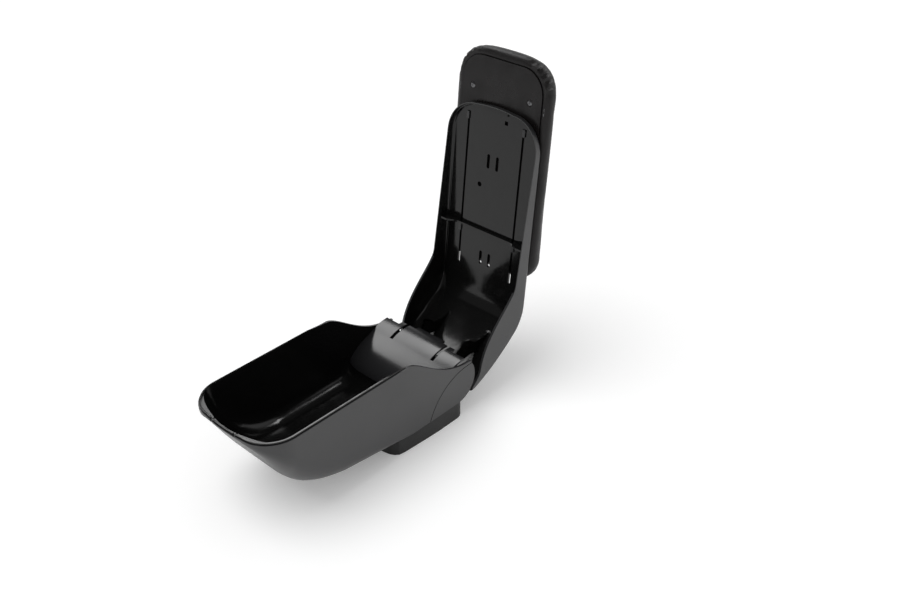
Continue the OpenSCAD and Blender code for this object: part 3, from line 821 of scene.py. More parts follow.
    def build(self) -> None:
        """Builds the whole moulding."""
        form = self.form
        finishes = self.palette.moulding()
        shell = self.outer()
        carve(shell, self.cavity(), Carve.CUT)
        carve(shell, self.hinge_room(), Carve.CUT)
        carve(shell, lathe_y("seam", (form.pivot[0], 0.0), self.seam_radius, -90.0, 90.0, finishes, 160), Carve.CUT)
        carve(shell, self.dip(), Carve.CUT)
        carve(shell, self.lip(), Carve.ADD)
        for side in Side:
            y = side.value * self.slit_y
            low = (form.front - 8.0, y - self.slit_width / 2, form.rim - self.slit_depth + 3.0)
            high = (form.front + 10.0, y + self.slit_width / 2, form.rim + 6.0)
            carve(shell, block("slit", low, high, finishes, Face.OUTSIDE), Carve.CUT)
        for part in self.rear_parts():
            carve(shell, part, Carve.ADD)
        soften(shell, 0.45)
        publish(shell, "base", ["tray"])


@dataclass
class RearCap:
    """The U-shaped cap that closes the rear of the box."""

    form: Form
    palette: Palette
    radius: float = 27.3
    centre_x: float = -43.0
    seam_gap: float = 0.8
    rear_top: float = 37.8

    def profile(self, inset: float) -> list[tuple[float, float]]:
        """Side view of the cap without the seam: round rear, flat bottom.

        Args:
            inset: how far it lies inside the outline.

        Returns:
            Points (x, z).
        """
        centre = (self.centre_x, self.form.pivot[1])
        return [
            *arc(centre, self.radius - inset, 90.0, 270.0, 49),
            (30.0, self.form.floor + inset),
            (30.0, self.form.pivot[1] + self.radius - inset),
        ]

    def build(self) -> None:
        """Builds the cap."""
        form = self.form
        finishes = self.palette.moulding()
        cap = slab("cap_shell", self.profile(0.0), -form.half_width, form.half_width, finishes, Face.OUTSIDE)
        inner = form.half_width - form.wall
        carve(cap, slab("hollow", self.profile(form.wall), -inner, inner, finishes), Carve.CUT)
        carve(cap, block("mouth", (-100.0, -inner, self.rear_top), (60.0, inner, 120.0), finishes), Carve.CUT)
        drum = lathe_y("drum", (form.pivot[0], 0.0), 64.5 - self.seam_gap, -90.0, 90.0, finishes, 160)
        carve(cap, drum, Carve.KEEP)
        tip = (form.pivot[0] - 5.0, form.rim - form.dip - 1.4)
        edge = [(x, z - 0.3) for x, z in form.dip_line()]
        outline = [(form.crest + 60.0, form.rim)] + edge + [(tip[0] - 80.0, tip[1]), (tip[0] - 80.0, 200.0), (form.crest + 60.0, 200.0)]
        carve(cap, slab("dip", outline, -90.0, 90.0, finishes, Face.OUTSIDE), Carve.CUT)
        soften(cap, 0.45)
        publish(cap, "base", ["rear_cap"])


@dataclass
class HingeCover:
    """The curved sheet over the hinge, with slots for the lid's arms."""

    form: Form
    palette: Palette
    thickness: float = 2.2
    half: float = 59.0
    slot_front: float = 25.5
    slot_width: float = 4.4
    arm_y: float = 31.0
    post: tuple[float, float] = (30.0, 42.0)
    steps: tuple[tuple[float, float], ...] = ((20.0, -2.0), (40.0, 4.0))

    def line(self) -> np.ndarray:
        """Side view of the sheet's outer face, about the pin."""
        back = bezier([(-8.0, 23.0), (0.0, 26.2), (13.0, 26.4), (24.0, 21.0)], 16)
        front = bezier([(24.0, 21.0), (36.0, 15.0), (66.0, 8.0), (67.0, -14.0)], 26)[1:]
        return np.concatenate([back, front, [(67.0, -19.0), (67.0, -24.4)]])

    def sheet(self) -> bpy.types.Object:
        """Builds the bent sheet as a grid with thickness."""
        outer = self.line()
        slope = np.gradient(outer, axis=0)
        normal = np.stack([-slope[:, 1], slope[:, 0]], axis=1)
        normal /= np.linalg.norm(normal, axis=1)[:, None]
        inner = outer - normal * self.thickness
        px, pz = self.form.pivot
        section = [(px + x, pz + z) for x, z in outer] + [(px + x, pz + z) for x, z in inner[::-1]]
        rings = []
        for y in np.linspace(-self.half, self.half, 31):
            rings.append(np.array([(x, y, z) for x, z in section]))
        return loft("hinge_cover_sheet", rings, [self.palette.cover], Face.OUTSIDE)

    def build(self) -> None:
        """Builds the cover."""
        px, pz = self.form.pivot
        finishes = [self.palette.cover]
        cover = self.sheet()
        for side in Side:
            y = side.value * self.arm_y
            low = (px + self.slot_front - 60.0, y - self.slot_width / 2, pz)
            high = (px + self.slot_front, y + self.slot_width / 2, pz + 60.0)
            carve(cover, block("slot", low, high, finishes, Face.OUTSIDE), Carve.CUT)
            for start, reach in self.steps:
                ends = sorted((side.value * start, side.value * 80.0))
                carve(cover, block("step", (px - 60.0, ends[0], pz), (px + reach, ends[1], pz + 60.0), finishes, Face.OUTSIDE), Carve.CUT)
        for side in Side:
            centre = (px + self.post[0], side.value * self.post[1])
            post = upright("post", arc(centre, 3.5, 0.0, 345.0, 24), 26.9, pz + 17.0, finishes, Face.OUTSIDE)
            carve(cover, post, Carve.ADD)
        soften(cover, 0.4)
        publish(cover, "base", ["hinge_cover"])


@dataclass
class Foot:
    """The textured block under the box, bolted to the car and screwed to the box."""

    form: Form
    palette: Palette
    ends: tuple[float, float] = (-56.0, 52.0)
    half_width: float = 61.4
    height: float = 21.0
    rear_radius: float = 14.0
    side_line: tuple[tuple[float, float], ...] = (
        (0.0, 0.56), (0.5, 0.68), (2.0, 0.79), (4.5, 0.87), (8.5, 0.93), (16.0, 0.952), (29.0, 0.966), (47.0, 0.985), (66.0, 1.0)
    )
    bolt_spacing: tuple[float, float] = (50.0, 40.0)
    seats: tuple[tuple[float, float], ...] = ((-41.0, 42.0), (36.0, 53.0))

    def plan(self) -> list[tuple[float, float]]:
        """Plan outline of the block."""
        rear, front = self.ends
        r = self.rear_radius
        half = [(front - back, share * self.half_width) for back, share in self.side_line]
        half += arc((rear + r, self.half_width - r), r, 90.0, 180.0, 13)
        return half + [(x, -y) for x, y in reversed(half)]

    def build(self) -> None:
        """Builds the block with its bolt holes and screw seats."""
        finishes = [self.palette.foot]
        foot = upright("foot_block", self.plan(), 0.0, self.height, finishes, Face.OUTSIDE)
        sx, sy = (s / 2 for s in self.bolt_spacing)
        for i in (-1, 1):
            for j in (-1, 1):
                hole = upright("hole", arc((i * sx, j * sy), 2.75, 0.0, 345.0, 24), -2.0, self.height + 2.0, finishes, Face.OUTSIDE)
                carve(foot, hole, Carve.CUT)
        for x, y in self.seats:
            for side in Side:
                seat = upright("seat", arc((x, side.value * y), 3.7, 0.0, 345.0, 24), -2.0, self.height - 5.0, finishes, Face.OUTSIDE)
                carve(foot, seat, Carve.CUT)
        soften(foot, 0.5)
        publish(foot, "base", ["foot"])


@dataclass
class Deck:
    """The tilted plane on which the pad slides."""

    form: Form
    x: float = -14.0
    z: float = 139.0
    tilt: float = 4.3

    def matrix(self) -> Matrix:
        """Takes deck coordinates to the closed lid's place."""
        shift = Matrix.Translation(Vector((self.x * MM, 0.0, self.z * MM)))
        return shift @ Matrix.Rotation(math.radians(self.tilt), 4, "Y")

    def height(self, x: float, n: float) -> float:
        """Height at x of a plane parallel to the deck, n above it."""
        slope = math.radians(self.tilt)
        return self.z - (x - self.x) * math.tan(slope) + n / math.cos(slope)


@dataclass
class Lid:
    """The hinged lid: shell, arms, rib, slots and rim rebate."""

    form: Form
    deck: Deck
    palette: Palette
    roof_top: float = -2.5
    roof_under: float = -6.8
    edge_round: float = 6.0
    tail_round: float = 14.0
    skirt: float = 30.0
    gap: float = 0.9
    arm_y: float = 31.0
    arm_thickness: float = 2.6
    recess_floor: float = -4.0
    recess_half: float = 54.8
    guide_y: float = 38.0
    guide_width: float = 2.8
    guide_span: tuple[float, float] = (21.0, 203.5)
    bridges: tuple[float, float] = (38.5, 154.5)
    bridge_length: float = 16.5
    bridge_width: float = 3.9
    bridge_y: float = 6.2
    rib_x: float = 72.0

    def top_line(self, inset: float, roof: float) -> list[tuple[float, float]]:
        """Side view of the lid's top from the tail to the start of the corner.

        Args:
            inset: how far it lies inside the outer face.
            roof: the level of the roof on the deck's normal.

        Returns:
            Points (x, z).
        """
        form, deck = self.form, self.deck
        tail = (form.pivot[0] - 24.0, form.rim - 50.0)
        bend = (deck.x - 12.0, deck.z - 11.0)
        slope = bezier([tail, (tail[0] + 13, tail[1] + 24), (bend[0] - 26, bend[1] - 21.5), bend], 26)
        shift = np.array([0.72, -0.7]) * inset
        points = [tuple(p + shift) for p in slope]
        a = np.array(bend) + shift
        b = np.array((deck.x + 2, deck.height(deck.x + 2, roof)))
        c = np.array((deck.x + 16, deck.height(deck.x + 16, roof)))
        for k in np.linspace(0.12, 1.0, 8):
            points.append(tuple((1 - k) ** 2 * a + 2 * k * (1 - k) * b + k * k * c))
        xs = np.linspace(deck.x + 16, form.turn, 36, endpoint=False)[1:]
        points += [(x, deck.height(x, roof)) for x in xs]
        return points

    def ring(self, x: float, w: float, top: float, radius: float) -> np.ndarray:
        """A ring of the upturned trough."""
        r = min(radius, 0.6 * w, 0.7 * (top - self.skirt))
        side = [(w, z) for z in np.linspace(self.skirt, top - r, 16, endpoint=False)]
        edge = [(w - r + r * math.cos(a), top - r + r * math.sin(a)) for a in np.linspace(0.0, math.pi / 2, 10)]
        middle = [(y, top) for y in np.linspace(w - r, 0.0, 8, endpoint=False)[1:]]
        half = side + edge + middle
        points = half + [(0.0, top)] + [(-y, z) for y, z in reversed(half)]
        return np.array([(x, y, z) for y, z in points])

    def solid(self, name: str, inset: float, roof: float, slot: Face) -> bpy.types.Object:
        """Builds the outer or inner solid of the lid.

        Args:
            name: the object's name.
            inset: how far it lies inside the outer face.
            roof: the level of the roof.
            slot: the slot that the faces take.

        Returns:
            The solid.
        """
        form = self.form
        radius = max(self.edge_round - inset, 1.5)
        rings = []
        for i, (x, z) in enumerate(self.top_line(inset, roof)):
            narrow = 2.2 * max(0.0, 1 - i / 3) ** 2
            cove = self.tail_round * min(1.0, max(0.0, (32 - i) / 12)) if slot is Face.INSIDE else 0.0
            rings.append(self.ring(x, form.half_width - inset - narrow, z, radius + cove))
        for x, w in form.nose_stations(inset):
            rings.append(self.ring(x, w, self.deck.height(x, roof), radius))
        return loft(name, rings, self.palette.moulding(), slot)

    def edge_cut(self) -> bpy.types.Object:
        """Builds the cutter below the lid's lower edge."""
        form = self.form
        px = form.pivot[0]
        low = form.rim - form.dip + self.gap
        tail = (px - 24.0, form.rim - 50.0)
        outline = [(form.front + 60.0, form.rim + self.gap)]
        outline += [(x - 0.6, z + self.gap) for x, z in form.dip_line()]
        outline += [(px - 6.0, low - 1.6), (px - 12.0, form.rim - 46.0), (px - 18.0, form.rim - 51.3)]
        outline += [(tail[0] + 2.0, tail[1] - 0.8), (tail[0] - 60.0, tail[1] - 0.8), (tail[0] - 60.0, -60.0), (form.front + 60.0, -60.0)]
        return slab("edge_cut", outline, -90.0, 90.0, self.palette.moulding(), Face.OUTSIDE)

    def arm(self, side: Side) -> list[bpy.types.Object]:
        """Builds the blade and the eye of one gooseneck arm."""
        px, pz = self.form.pivot
        y = side.value * self.arm_y
        low, high = y - self.arm_thickness / 2, y + self.arm_thickness / 2
        neck = [(7.5, 4.0), (17.5, 17.0), (23.5, 23.0), (22.0, 32.0), (17.0, 40.0), (18.0, 54.0), (24.0, 70.0)]
        neck += [(24.0, 84.0), (4.0, 66.0), (3.0, 36.0), (-1.0, 24.0), (-7.5, 4.0)]
        blade = slab("arm", [(px + a, pz + b) for a, b in neck], low, high, self.palette.moulding())
        eye = lathe_y("eye", (px, pz), 8.5, low + 0.01, high - 0.01, self.palette.moulding())
        bore = lathe_y("bore", (px, pz), 2.56, low - 2.0, high + 2.0, self.palette.moulding())
        carve(eye, bore, Carve.CUT)
        return [blade, eye]

    def rib(self) -> bpy.types.Object:
        """Builds the low cross rib, which sweeps down to the rim at both sides."""
        ceiling = self.deck.height(self.rib_x, self.roof_under) + 2.0
        low = self.form.rim + self.gap
        mid = ceiling - 7.0
        sweep = [(y, low + (mid - low) * 0.5 * (1 - math.cos(math.pi * s))) for y, s in zip(np.linspace(58.0, 37.0, 12), np.linspace(0.0, 1.0, 12))]
        half = [(62.0, ceiling), (62.0, low), *sweep]
        outline = half + [(-y, z) for y, z in reversed(half)]
        rings = [np.array([(x, y, z) for y, z in outline]) for x in (self.rib_x - 1.0, self.rib_x + 1.0)]
        return loft("rib", rings, self.palette.moulding(), Face.INSIDE)

    def roof_cuts(self) -> list[bpy.types.Object]:
        """Builds the cutters of the roof: recess, guides, bridges and holes, in deck coordinates."""
        finishes = self.palette.moulding()
        x0 = self.deck.x
        deep = self.roof_under - 4.0
        cuts = [block("recess", (8.0, -self.recess_half, self.recess_floor), (260.0, self.recess_half, 20.0), finishes)]
        for side in Side:
            y = side.value * self.guide_y
            w = self.guide_width / 2
            low = (self.guide_span[0] - x0, y - w, deep)
            high = (self.guide_span[1] - x0, y + w, 4.0)
            cuts.append(block("guide", low, high, finishes))
            for x in self.bridges:
                cuts.append(self.oblong(x - x0, side.value * self.bridge_y, deep))
        cuts.append(upright("hole", arc((125.0 - x0, -16.0), 2.8, 0.0, 345.0, 24), deep, 4.0, finishes))
        latch = self.form.front - 11.0 - x0
        cuts.append(block("latch", (latch - 2.2, 11.8, deep), (latch + 2.2, 16.2, 4.0), finishes))
        for cut in cuts:
            cut.data.transform(self.deck.matrix())
        return cuts

    def oblong(self, x: float, y: float, deep: float) -> bpy.types.Object:
        """Builds a cutter with round ends along X."""
        r = self.bridge_width / 2
        reach = self.bridge_length / 2 - r
        outline = arc((x + reach, y), r, -90.0, 90.0, 9) + arc((x - reach, y), r, 90.0, 270.0, 9)
        return upright("bridge", outline, deep, 4.0, self.palette.moulding())

    def build(self) -> None:
        """Builds the lid and swings it open."""
        form = self.form
        finishes = self.palette.moulding()
        shell = self.solid("lid_moulding", 0.0, self.roof_top, Face.OUTSIDE)
        full = shell.copy()
        full.data = shell.data.copy()
        bpy.context.scene.collection.objects.link(full)
        carve(shell, self.solid("hollow", form.wall, self.roof_under, Face.INSIDE), Carve.CUT)
        eyes = []
        insides = [self.rib()]
        for side in Side:
            blade, eye = self.arm(side)
            insides.append(blade)
            eyes.append(eye)
        block_low = (form.front - form.wall - 1.5, -16.0, form.rim + self.gap + 2.6)
        insides.append(block("catch", block_low, (form.front + 1.0, 16.0, form.rim + 14.0), finishes))
        for part in insides:
            carve(part, full, Carve.KEEP, keep_tool=True)
            carve(shell, part, Carve.ADD)
        discard(full)
        arms_low = shell.copy()
        arms_low.data = shell.data.copy()
        bpy.context.scene.collection.objects.link(arms_low)
        carve(shell, self.edge_cut(), Carve.CUT)
        for side in Side:
            y = side.value * self.arm_y
            low, high = y - self.arm_thickness / 2 - 0.02, y + self.arm_thickness / 2 + 0.02
            px, pz = form.pivot
            window = block("window", (px - 10.0, low, pz + 2.0), (px + 40.0, high, pz + 50.0), finishes)
            piece = arms_low.copy()
            piece.data = arms_low.data.copy()
            bpy.context.scene.collection.objects.link(piece)
            carve(piece, window, Carve.KEEP)
            carve(shell, piece, Carve.ADD)
        discard(arms_low)
        for eye in eyes:
            carve(shell, eye, Carve.ADD)
        carve(shell, upright("rebate", form.plan(form.crest - 8.0, 0.95), form.rim - 3.0, form.rim + self.gap + 2.6, finishes), Carve.CUT)
        for cut in self.roof_cuts():
            carve(shell, cut, Carve.CUT)
        soften(shell, 0.45)
        shell.data.transform(form.swing())
        publish(shell, "lid", ["lid_shell"])


@dataclass
class Pad:
    """The padded top: carrier plate, screws and leatherette wrap."""

    form: Form
    deck: Deck
    palette: Palette
    rear: float = 42.0
    length: float = 247.0
    width: float = 127.0
    thick_rear: float = 28.0
    thick_front: float = 22.0
    rear_round: float = 24.0
    front_round: float = 36.0
    rear_roll: float = 24.0
    front_roll: float = 16.0
    underside: float = -2.3
    plate_bottom: float = -3.5
    plate_top: float = -1.3
    plate_inset: float = 9.0
    board_inset: float = 11.0

    def half(self, u: float, inset: float) -> float:
        """Half width of the pad at u, moved in by inset."""
        a = self.rear + self.rear_round
        b = self.rear + self.length - self.front_round
        w = self.width / 2
        if u < a:
            return w - self.rear_round + math.sqrt(max(0.0, (self.rear_round - inset) ** 2 - (a - u) ** 2))
        if u > b:
            return w - self.front_round + math.sqrt(max(0.0, (self.front_round - inset) ** 2 - (u - b) ** 2))
        return w - inset

    def top(self, u: float, inset: float) -> float:
        """Height of the crown at u."""
        share = (u - self.rear) / self.length
        h = self.thick_rear + (self.thick_front - self.thick_rear) * share - inset
        e = min(1.0, (u - self.rear - inset) / self.rear_roll)
        g = min(1.0, (self.rear + self.length - inset - u) / self.front_roll)
        roll = math.sqrt(max(0.0, 1 - (1 - e) ** 2)) * math.sqrt(max(0.0, 1 - (1 - g) ** 2))
        return h * (0.35 + 0.65 * roll)

    def stations(self, inset: float) -> np.ndarray:
        """Places along the pad, close together at its ends."""
        s = np.linspace(0.0, 1.0, 61)
        eased = 0.5 - 0.5 * np.cos(math.pi * s)
        return self.rear + inset + (0.5 * s + 0.5 * eased) * (self.length - 2 * inset)

    def section(self, u: float, inset: float) -> np.ndarray:
        """A ring of the pad: flat below, bulging sides, crowned top."""
        w = self.half(u, inset)
        h = self.top(u, inset) - self.underside
        low = [(w - 3.2 + 3.2 * math.sin(a), h * 0.26 * (1 - math.cos(a))) for a in np.linspace(0.0, math.pi / 2, 6, endpoint=False)]
        rise = np.linspace(0.0, math.pi / 2, 18)
        high = [(w * math.cos(a) ** 0.55 if a < 1.57 else 0.0, h * (0.26 + 0.74 * math.sin(a) ** 0.72)) for a in rise]
        flat = [(y, 0.0) for y in np.linspace(0.0, w - 3.2, 10, endpoint=False)[1:]]
        half = flat + low + high[:-1]
        points = [(0.0, 0.0)] + half + [high[-1]] + [(-y, z) for y, z in reversed(half)]
        return np.array([(u, y, self.underside + z) for y, z in points])

    def wrap(self) -> bpy.types.Object:
        """Builds the leatherette wrap."""
        inset = -0.3
        rings = [self.section(u, inset) for u in self.stations(inset)]
        pad = loft("pad_wrap", rings, [self.palette.leatherette], Face.OUTSIDE)
        self.swell(pad)
        self.crease(pad)
        self.press(pad)
        pocket = upright("pocket", self.plate_plan(self.plate_inset - 1.0), self.underside - 3.0, self.plate_top + 0.2, [self.palette.leatherette], Face.OUTSIDE)
        carve(pad, pocket, Carve.CUT)
        shade(pad, 40.0)
        return pad

    def swell(self, pad: bpy.types.Object) -> None:
        """Fills the wrap with foam: a short cloth run with pressure, its travel capped."""
        grid = pad.modifiers.new("grid", "REMESH")
        grid.mode = "VOXEL"
        grid.voxel_size = 4.5 * MM
        bake_modifiers(pad)
        before = np.array([v.co for v in pad.data.vertices])
        pinned = pad.vertex_groups.new(name="board")
        limit = (self.underside + 3.0) * MM
        pinned.add([i for i, p in enumerate(before) if p[2] < limit], 1.0, "REPLACE")
        cloth = pad.modifiers.new("cloth", "CLOTH")
        cloth.settings.use_pressure = True
        cloth.settings.uniform_pressure_force = 4.0
        cloth.settings.effector_weights.gravity = 0.0
        cloth.settings.vertex_group_mass = "board"
        cloth.settings.tension_stiffness = 20.0
        scene = bpy.context.scene
        for frame_number in range(1, 21):
            scene.frame_set(frame_number)
        graph = bpy.context.evaluated_depsgraph_get()
        moved = np.array([v.co for v in pad.evaluated_get(graph).data.vertices])
        pad.modifiers.clear()
        scene.frame_set(1)
        travel = moved - before
        length = np.linalg.norm(travel, axis=1)
        cap = 2.2 * MM
        travel *= (np.minimum(length, cap) / np.maximum(length, 1e-9))[:, None]
        for vertex, place in zip(pad.data.vertices, before + travel):
            vertex.co = place
        self.refine(pad)

    def refine(self, pad: bpy.types.Object) -> None:
        """Smooths the remeshed wrap and subdivides it once."""
        even = pad.modifiers.new("even", "SMOOTH")
        even.factor = 0.5
        even.iterations = 4
        finer = pad.modifiers.new("finer", "SUBSURF")
        finer.levels = 1
        finer.render_levels = 1
        bake_modifiers(pad)

    def crease(self, pad: bpy.types.Object) -> None:
        """Draws the gathered folds at the corners and the slack along the sides."""
        corner_u = self.rear + self.length - self.front_round
        corner_y = self.width / 2 - self.front_round
        folds = ((16.0, 1.5, 2.0), (29.0, 2.0, 3.0), (42.0, 1.6, 2.4), (55.0, 2.2, 3.3), (69.0, 1.6, 2.2))
        for vertex in pad.data.vertices:
            u, y, n = (c / MM for c in vertex.co)
            if u > corner_u and abs(y) > corner_y:
                angle = math.degrees(math.atan2(abs(y) - corner_y, u - corner_u))
                reach = math.hypot(abs(y) - corner_y, u - corner_u)
                low = max(0.0, 1 - (n - self.underside) / 13.0) ** 0.7
                near = min(1.0, max(0.0, (reach - 24.0) / 8.0))
                depth = sum(d * math.exp(-(((angle - a) / w) ** 2)) for a, w, d in folds)
                lift = 0.7 * noise.noise(Vector((angle * 0.12, n * 0.15, 2.0 if y > 0 else 7.0)))
                inward = Vector((corner_u - u, math.copysign(corner_y, y) - y, 0.0))
                if inward.length > 0:
                    vertex.co += inward.normalized() * (depth - lift) * low * near * MM
            sway = noise.noise(Vector((u * 0.022, y * 0.03, n * 0.05)))
            if n > self.underside + 2.0:
                vertex.co.z += 0.35 * sway * MM

    def press(self, pad: bpy.types.Object) -> None:
        """Presses the wrap's turned-in border flat on the board's level."""
        floor = self.underside * MM
        for vertex in pad.data.vertices:
            u, y, n = vertex.co
            deep = min(u / MM - self.rear, self.rear + self.length - u / MM, self.half(u / MM, 0.0) - abs(y) / MM)
            if n < floor or (deep > 4.0 and n < floor + 3.0 * MM):
                vertex.co.z = floor

    def board(self) -> bpy.types.Object:
        """Builds the stiff board that the wrap is stretched over."""
        finishes = [self.palette.board]
        board = upright("stiff_board", self.plate_plan(self.board_inset), self.plate_top, self.plate_top + 2.6, finishes, Face.OUTSIDE)
        soften(board, 0.5)
        return board

    def plate_plan(self, inset: float) -> list[tuple[float, float]]:
        """Plan outline of the plate, moved in by inset."""
        us = self.rear + inset + (0.5 - 0.5 * np.cos(math.pi * np.linspace(0.0, 1.0, 49))) * (self.length - 2 * inset)
        half = [(float(u), self.half(float(u), inset)) for u in us]
        return [(u, -w) for u, w in half] + [(u, w) for u, w in reversed(half)]

    def plate(self) -> bpy.types.Object:
        """Builds the carrier plate with its screw seats."""
        finishes = [self.palette.plate]
        plate = upright("carrier_plate", self.plate_plan(self.plate_inset), self.plate_bottom, self.plate_top, finishes, Face.OUTSIDE)
        for u, y in self.screw_places():
            seat = upright("seat", arc((u, y), 3.3, 0.0, 345.0, 24), self.plate_bottom - 1.0, self.plate_bottom + 0.9, finishes, Face.OUTSIDE)
            carve(plate, seat, Carve.CUT)
        soften(plate, 0.4)
        return plate

    def screw_places(self) -> list[tuple[float, float]]:
        """Places (u, y) of the four plate screws."""
        return [(u, j * 39.0) for u in (self.rear + 30.0, self.rear + self.length - 44.0) for j in (-1, 1)]

    def screws(self) -> bpy.types.Object:
        """Builds the screw heads with their cross recesses."""
        finishes = [self.palette.dark_steel]
        heads: list[bpy.types.Object] = []
        for u, y in self.screw_places():
            rings = []
            for r, n in ((3.0, 0.9), (3.0, 0.35), (2.7, 0.05), (2.0, -0.15), (1.0, -0.25), (0.1, -0.28)):
                rings.append(np.array([(a, b, self.plate_bottom + n) for a, b in arc((u, y), r, 0.0, 345.0, 24)]))
            head = loft("plate_screw_heads", rings, finishes, Face.OUTSIDE)
            for dx, dy in ((1.7, 0.35), (0.35, 1.7)):
                low = (u - dx, y - dy, self.plate_bottom - 1.0)
                carve(head, block("recess", low, (u + dx, y + dy, self.plate_bottom + 0.4), finishes, Face.OUTSIDE), Carve.CUT)
            heads.append(head)
        first = heads[0]
        for other in heads[1:]:
            carve(first, other, Carve.ADD)
        soften(first, 0.08)
        return first

    def build(self) -> None:
        """Builds the pad and swings it to the rest pose."""
        place = self.form.swing() @ self.deck.matrix()
        wrap, board, plate, screws = self.wrap(), self.board(), self.plate(), self.screws()
        for piece in (wrap, board, plate, screws):
            piece.data.transform(place)
        publish(wrap, "pad", ["pad_cover", "pad_foam"])
        publish(board, "pad", ["pad_board"])
        publish(plate, "pad", ["slide_plate"])
        publish(screws, "pad", ["plate_screws"])


@dataclass
class Fittings:
    """The CAD nodes that show as they are and get a finish."""

    palette: Palette
    nodes: dict

    def dress(self) -> None:
        """Gives each remaining CAD node its finish."""
        finishes = {
            self.palette.zinc: ("foot_screws", "cap_screws", "cover_screws", "plate_screws"),
            self.palette.dark_steel: ("cover_staples",),
            self.palette.bright: ("hinge_pin", "pin_rings", "hinge_washers"),
            self.palette.glide: ("spacer_tube", "side_spacers", "glide_strips", "runner_hooks"),
            self.palette.board: ("pad_board",),
            self.palette.foam: ("pad_foam",),
            self.palette.leatherette: ("pad_cover",),
            self.palette.plate: ("slide_plate",),
            self.palette.satin: ("tray", "rear_cap", "lid_shell"),
            self.palette.cover: ("hinge_cover",),
            self.palette.foot: ("foot",),
        }
        for finish, names in finishes.items():
            for name in names:
                mesh = self.nodes[name].data
                mesh.materials.clear()
                mesh.materials.append(finish)


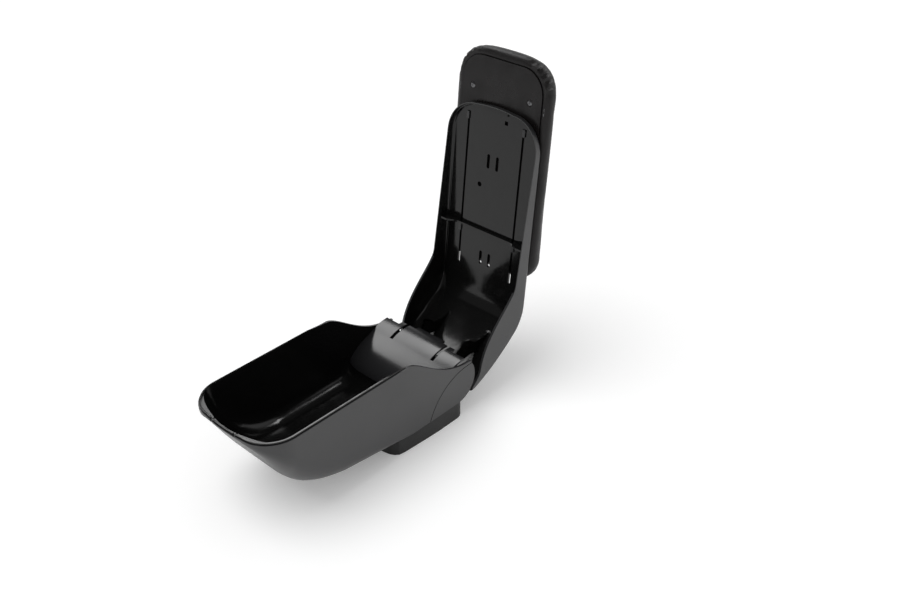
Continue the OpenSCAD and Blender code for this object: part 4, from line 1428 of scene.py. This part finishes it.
@dataclass
class Studio:
    """Camera, floor, lamps and world."""

    place: Point = (0.6232, 0.6692, 0.7333)
    azimuth: float = 42.21
    elevation: float = 33.02
    focal_px: float = 1045.0
    image_px: float = 920.0
    sensor_mm: float = 36.0
    ambient: float = 0.58

    def camera(self) -> None:
        """Sets the camera at the photograph's viewpoint."""
        az, el = math.radians(self.azimuth), math.radians(self.elevation)
        back = Vector((math.cos(el) * math.cos(az), math.cos(el) * math.sin(az), math.sin(el)))
        right = Vector((-math.sin(az), math.cos(az), 0.0))
        up = back.cross(right)
        data = bpy.data.cameras.new("camera")
        data.sensor_width = self.sensor_mm
        data.lens = self.focal_px * self.sensor_mm / self.image_px
        data.clip_start = 0.01
        made = bpy.data.objects.new("camera", data)
        bpy.context.scene.collection.objects.link(made)
        made.matrix_world = Matrix.Translation(self.place) @ Matrix((right, up, back)).transposed().to_4x4()
        bpy.context.scene.camera = made

    def floor(self) -> None:
        """Lays the white floor, which keeps the object's shadow."""
        size = 12000.0
        corners = np.array([(-size, -size, 0.0), (size, -size, 0.0), (size, size, 0.0), (-size, size, 0.0)])
        material, tree, shader = blank_material("white floor")
        shader.inputs["Base Color"].default_value = (0.9, 0.9, 0.9, 1.0)
        shader.inputs["Roughness"].default_value = 0.7
        shader.inputs["Specular IOR Level"].default_value = 0.1
        shader.inputs["Emission Color"].default_value = (1.0, 1.0, 1.0, 1.0)
        rays = tree.nodes.new("ShaderNodeLightPath")
        seen = tree.nodes.new("ShaderNodeMath")
        seen.operation = "MAXIMUM"
        tree.links.new(rays.outputs["Is Camera Ray"], seen.inputs[0])
        tree.links.new(rays.outputs["Is Glossy Ray"], seen.inputs[1])
        glow = tree.nodes.new("ShaderNodeMath")
        glow.operation = "MULTIPLY"
        glow.inputs[1].default_value = 0.2
        tree.links.new(seen.outputs[0], glow.inputs[0])
        tree.links.new(glow.outputs[0], shader.inputs["Emission Strength"])
        floor = mesh_object("floor", corners, [[0, 1, 2, 3]], [material])

    def surround(self, tree: bpy.types.NodeTree) -> bpy.types.NodeSocket:
        """Makes the brightness of the surroundings: white walls behind, a dark ceiling and a dark front.

        Args:
            tree: the world's node tree.

        Returns:
            The socket with the strength.
        """
        place = tree.nodes.new("ShaderNodeTexCoord")
        split = tree.nodes.new("ShaderNodeSeparateXYZ")
        tree.links.new(place.outputs["Generated"], split.inputs[0])
        height = node(tree, "ShaderNodeMapRange", From_Min=0.42, From_Max=0.52, To_Min=0.85, To_Max=0.08)
        tree.links.new(split.outputs["Z"], height.inputs["Value"])
        side = tree.nodes.new("ShaderNodeVectorMath")
        side.operation = "DOT_PRODUCT"
        side.inputs[1].default_value = (-0.94, 0.34, 0.0)
        tree.links.new(place.outputs["Generated"], side.inputs[0])
        behind = node(tree, "ShaderNodeMapRange", From_Min=-0.3, From_Max=0.15, To_Min=0.2, To_Max=1.0)
        tree.links.new(side.outputs["Value"], behind.inputs["Value"])
        strength = tree.nodes.new("ShaderNodeMath")
        strength.operation = "MULTIPLY"
        tree.links.new(height.outputs["Result"], strength.inputs[0])
        tree.links.new(behind.outputs["Result"], strength.inputs[1])
        return strength.outputs[0]

    def world(self) -> None:
        """Makes the white surroundings, whose light on the object is plainer."""
        world = bpy.data.worlds.new("studio")
        bpy.context.scene.world = world
        world.use_nodes = True
        tree = world.node_tree
        light = tree.nodes["Background"]
        light.inputs["Color"].default_value = (1.0, 1.0, 1.0, 1.0)
        seen = tree.nodes.new("ShaderNodeBackground")
        seen.inputs["Strength"].default_value = 1.0
        rays = tree.nodes.new("ShaderNodeLightPath")
        mix = tree.nodes.new("ShaderNodeMixShader")
        tree.links.new(rays.outputs["Is Camera Ray"], mix.inputs[0])
        tree.links.new(light.outputs[0], mix.inputs[1])
        tree.links.new(seen.outputs[0], mix.inputs[2])
        tree.links.new(mix.outputs[0], tree.nodes["World Output"].inputs["Surface"])
        pick = node(tree, "ShaderNodeMapRange", From_Min=0.0, From_Max=1.0, To_Min=self.ambient)
        tree.links.new(rays.outputs["Is Glossy Ray"], pick.inputs["Value"])
        tree.links.new(self.surround(tree), pick.inputs["To Max"])
        tree.links.new(pick.outputs["Result"], light.inputs["Strength"])

    def hang(self, data: bpy.types.Light, place: Point, aim: Point, use: Use) -> None:
        """Hangs a lamp so that it faces a point.

        Args:
            data: the lamp.
            place: where it hangs.
            aim: the point that it faces.
            use: whether it lights the scene or only shows in glossy surfaces.
        """
        made = bpy.data.objects.new(data.name, data)
        made.location = place
        made.rotation_euler = (Vector(aim) - Vector(place)).to_track_quat("-Z", "Y").to_euler()
        made.visible_camera = False
        made.visible_glossy = use is Use.MIRROR
        made.visible_diffuse = use is Use.LIGHT
        bpy.context.scene.collection.objects.link(made)

    def soft_box(self, name: str, place: Point, aim: Point, size: tuple[float, float], power: float) -> None:
        """Hangs a soft box that shows in the glossy surfaces.

        Args:
            name: the lamp's name.
            place: where it hangs.
            aim: the point that it faces.
            size: its width and height.
            power: its power in watts.
        """
        data = bpy.data.lights.new(name, "AREA")
        data.shape = "RECTANGLE"
        data.size, data.size_y = size
        data.energy = power
        self.hang(data, place, aim, Use.MIRROR)

    def overhead(self) -> None:
        """Hangs the wide, even overhead light that makes the soft shadow."""
        data = bpy.data.lights.new("overhead", "SUN")
        data.energy = 1.35
        data.angle = math.radians(46.0)
        self.hang(data, (0.32, -0.28, 1.0), (0.0, 0.0, 0.0), Use.LIGHT)

    def build(self) -> None:
        """Sets up the whole studio."""
        self.camera()
        self.floor()
        self.world()
        self.overhead()
        self.soft_box("long box", (-0.33, -1.0, 1.35), (0.0, 0.0, 0.05), (1.15, 0.5), 12.0)
        self.soft_box("side box", (-1.2, 0.62, 1.25), (0.05, 0.0, 0.05), (0.9, 0.36), 9.0)
        bpy.context.scene.view_settings.view_transform = "Standard"


def main() -> None:
    """Builds the armrest in order."""
    logging.basicConfig(level=logging.INFO, format="%(name)s: %(message)s")
    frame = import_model()
    palette = Palette()
    form = Form()
    deck = Deck(form)
    Fittings(palette, frame["nodes"]).dress()
    StorageBox(form, palette).build()
    RearCap(form, palette).build()
    HingeCover(form, palette).build()
    Foot(form, palette).build()
    Lid(form, deck, palette).build()
    Pad(form, deck, palette).build()
    Studio().build()


if __name__ == "__main__":
    main()
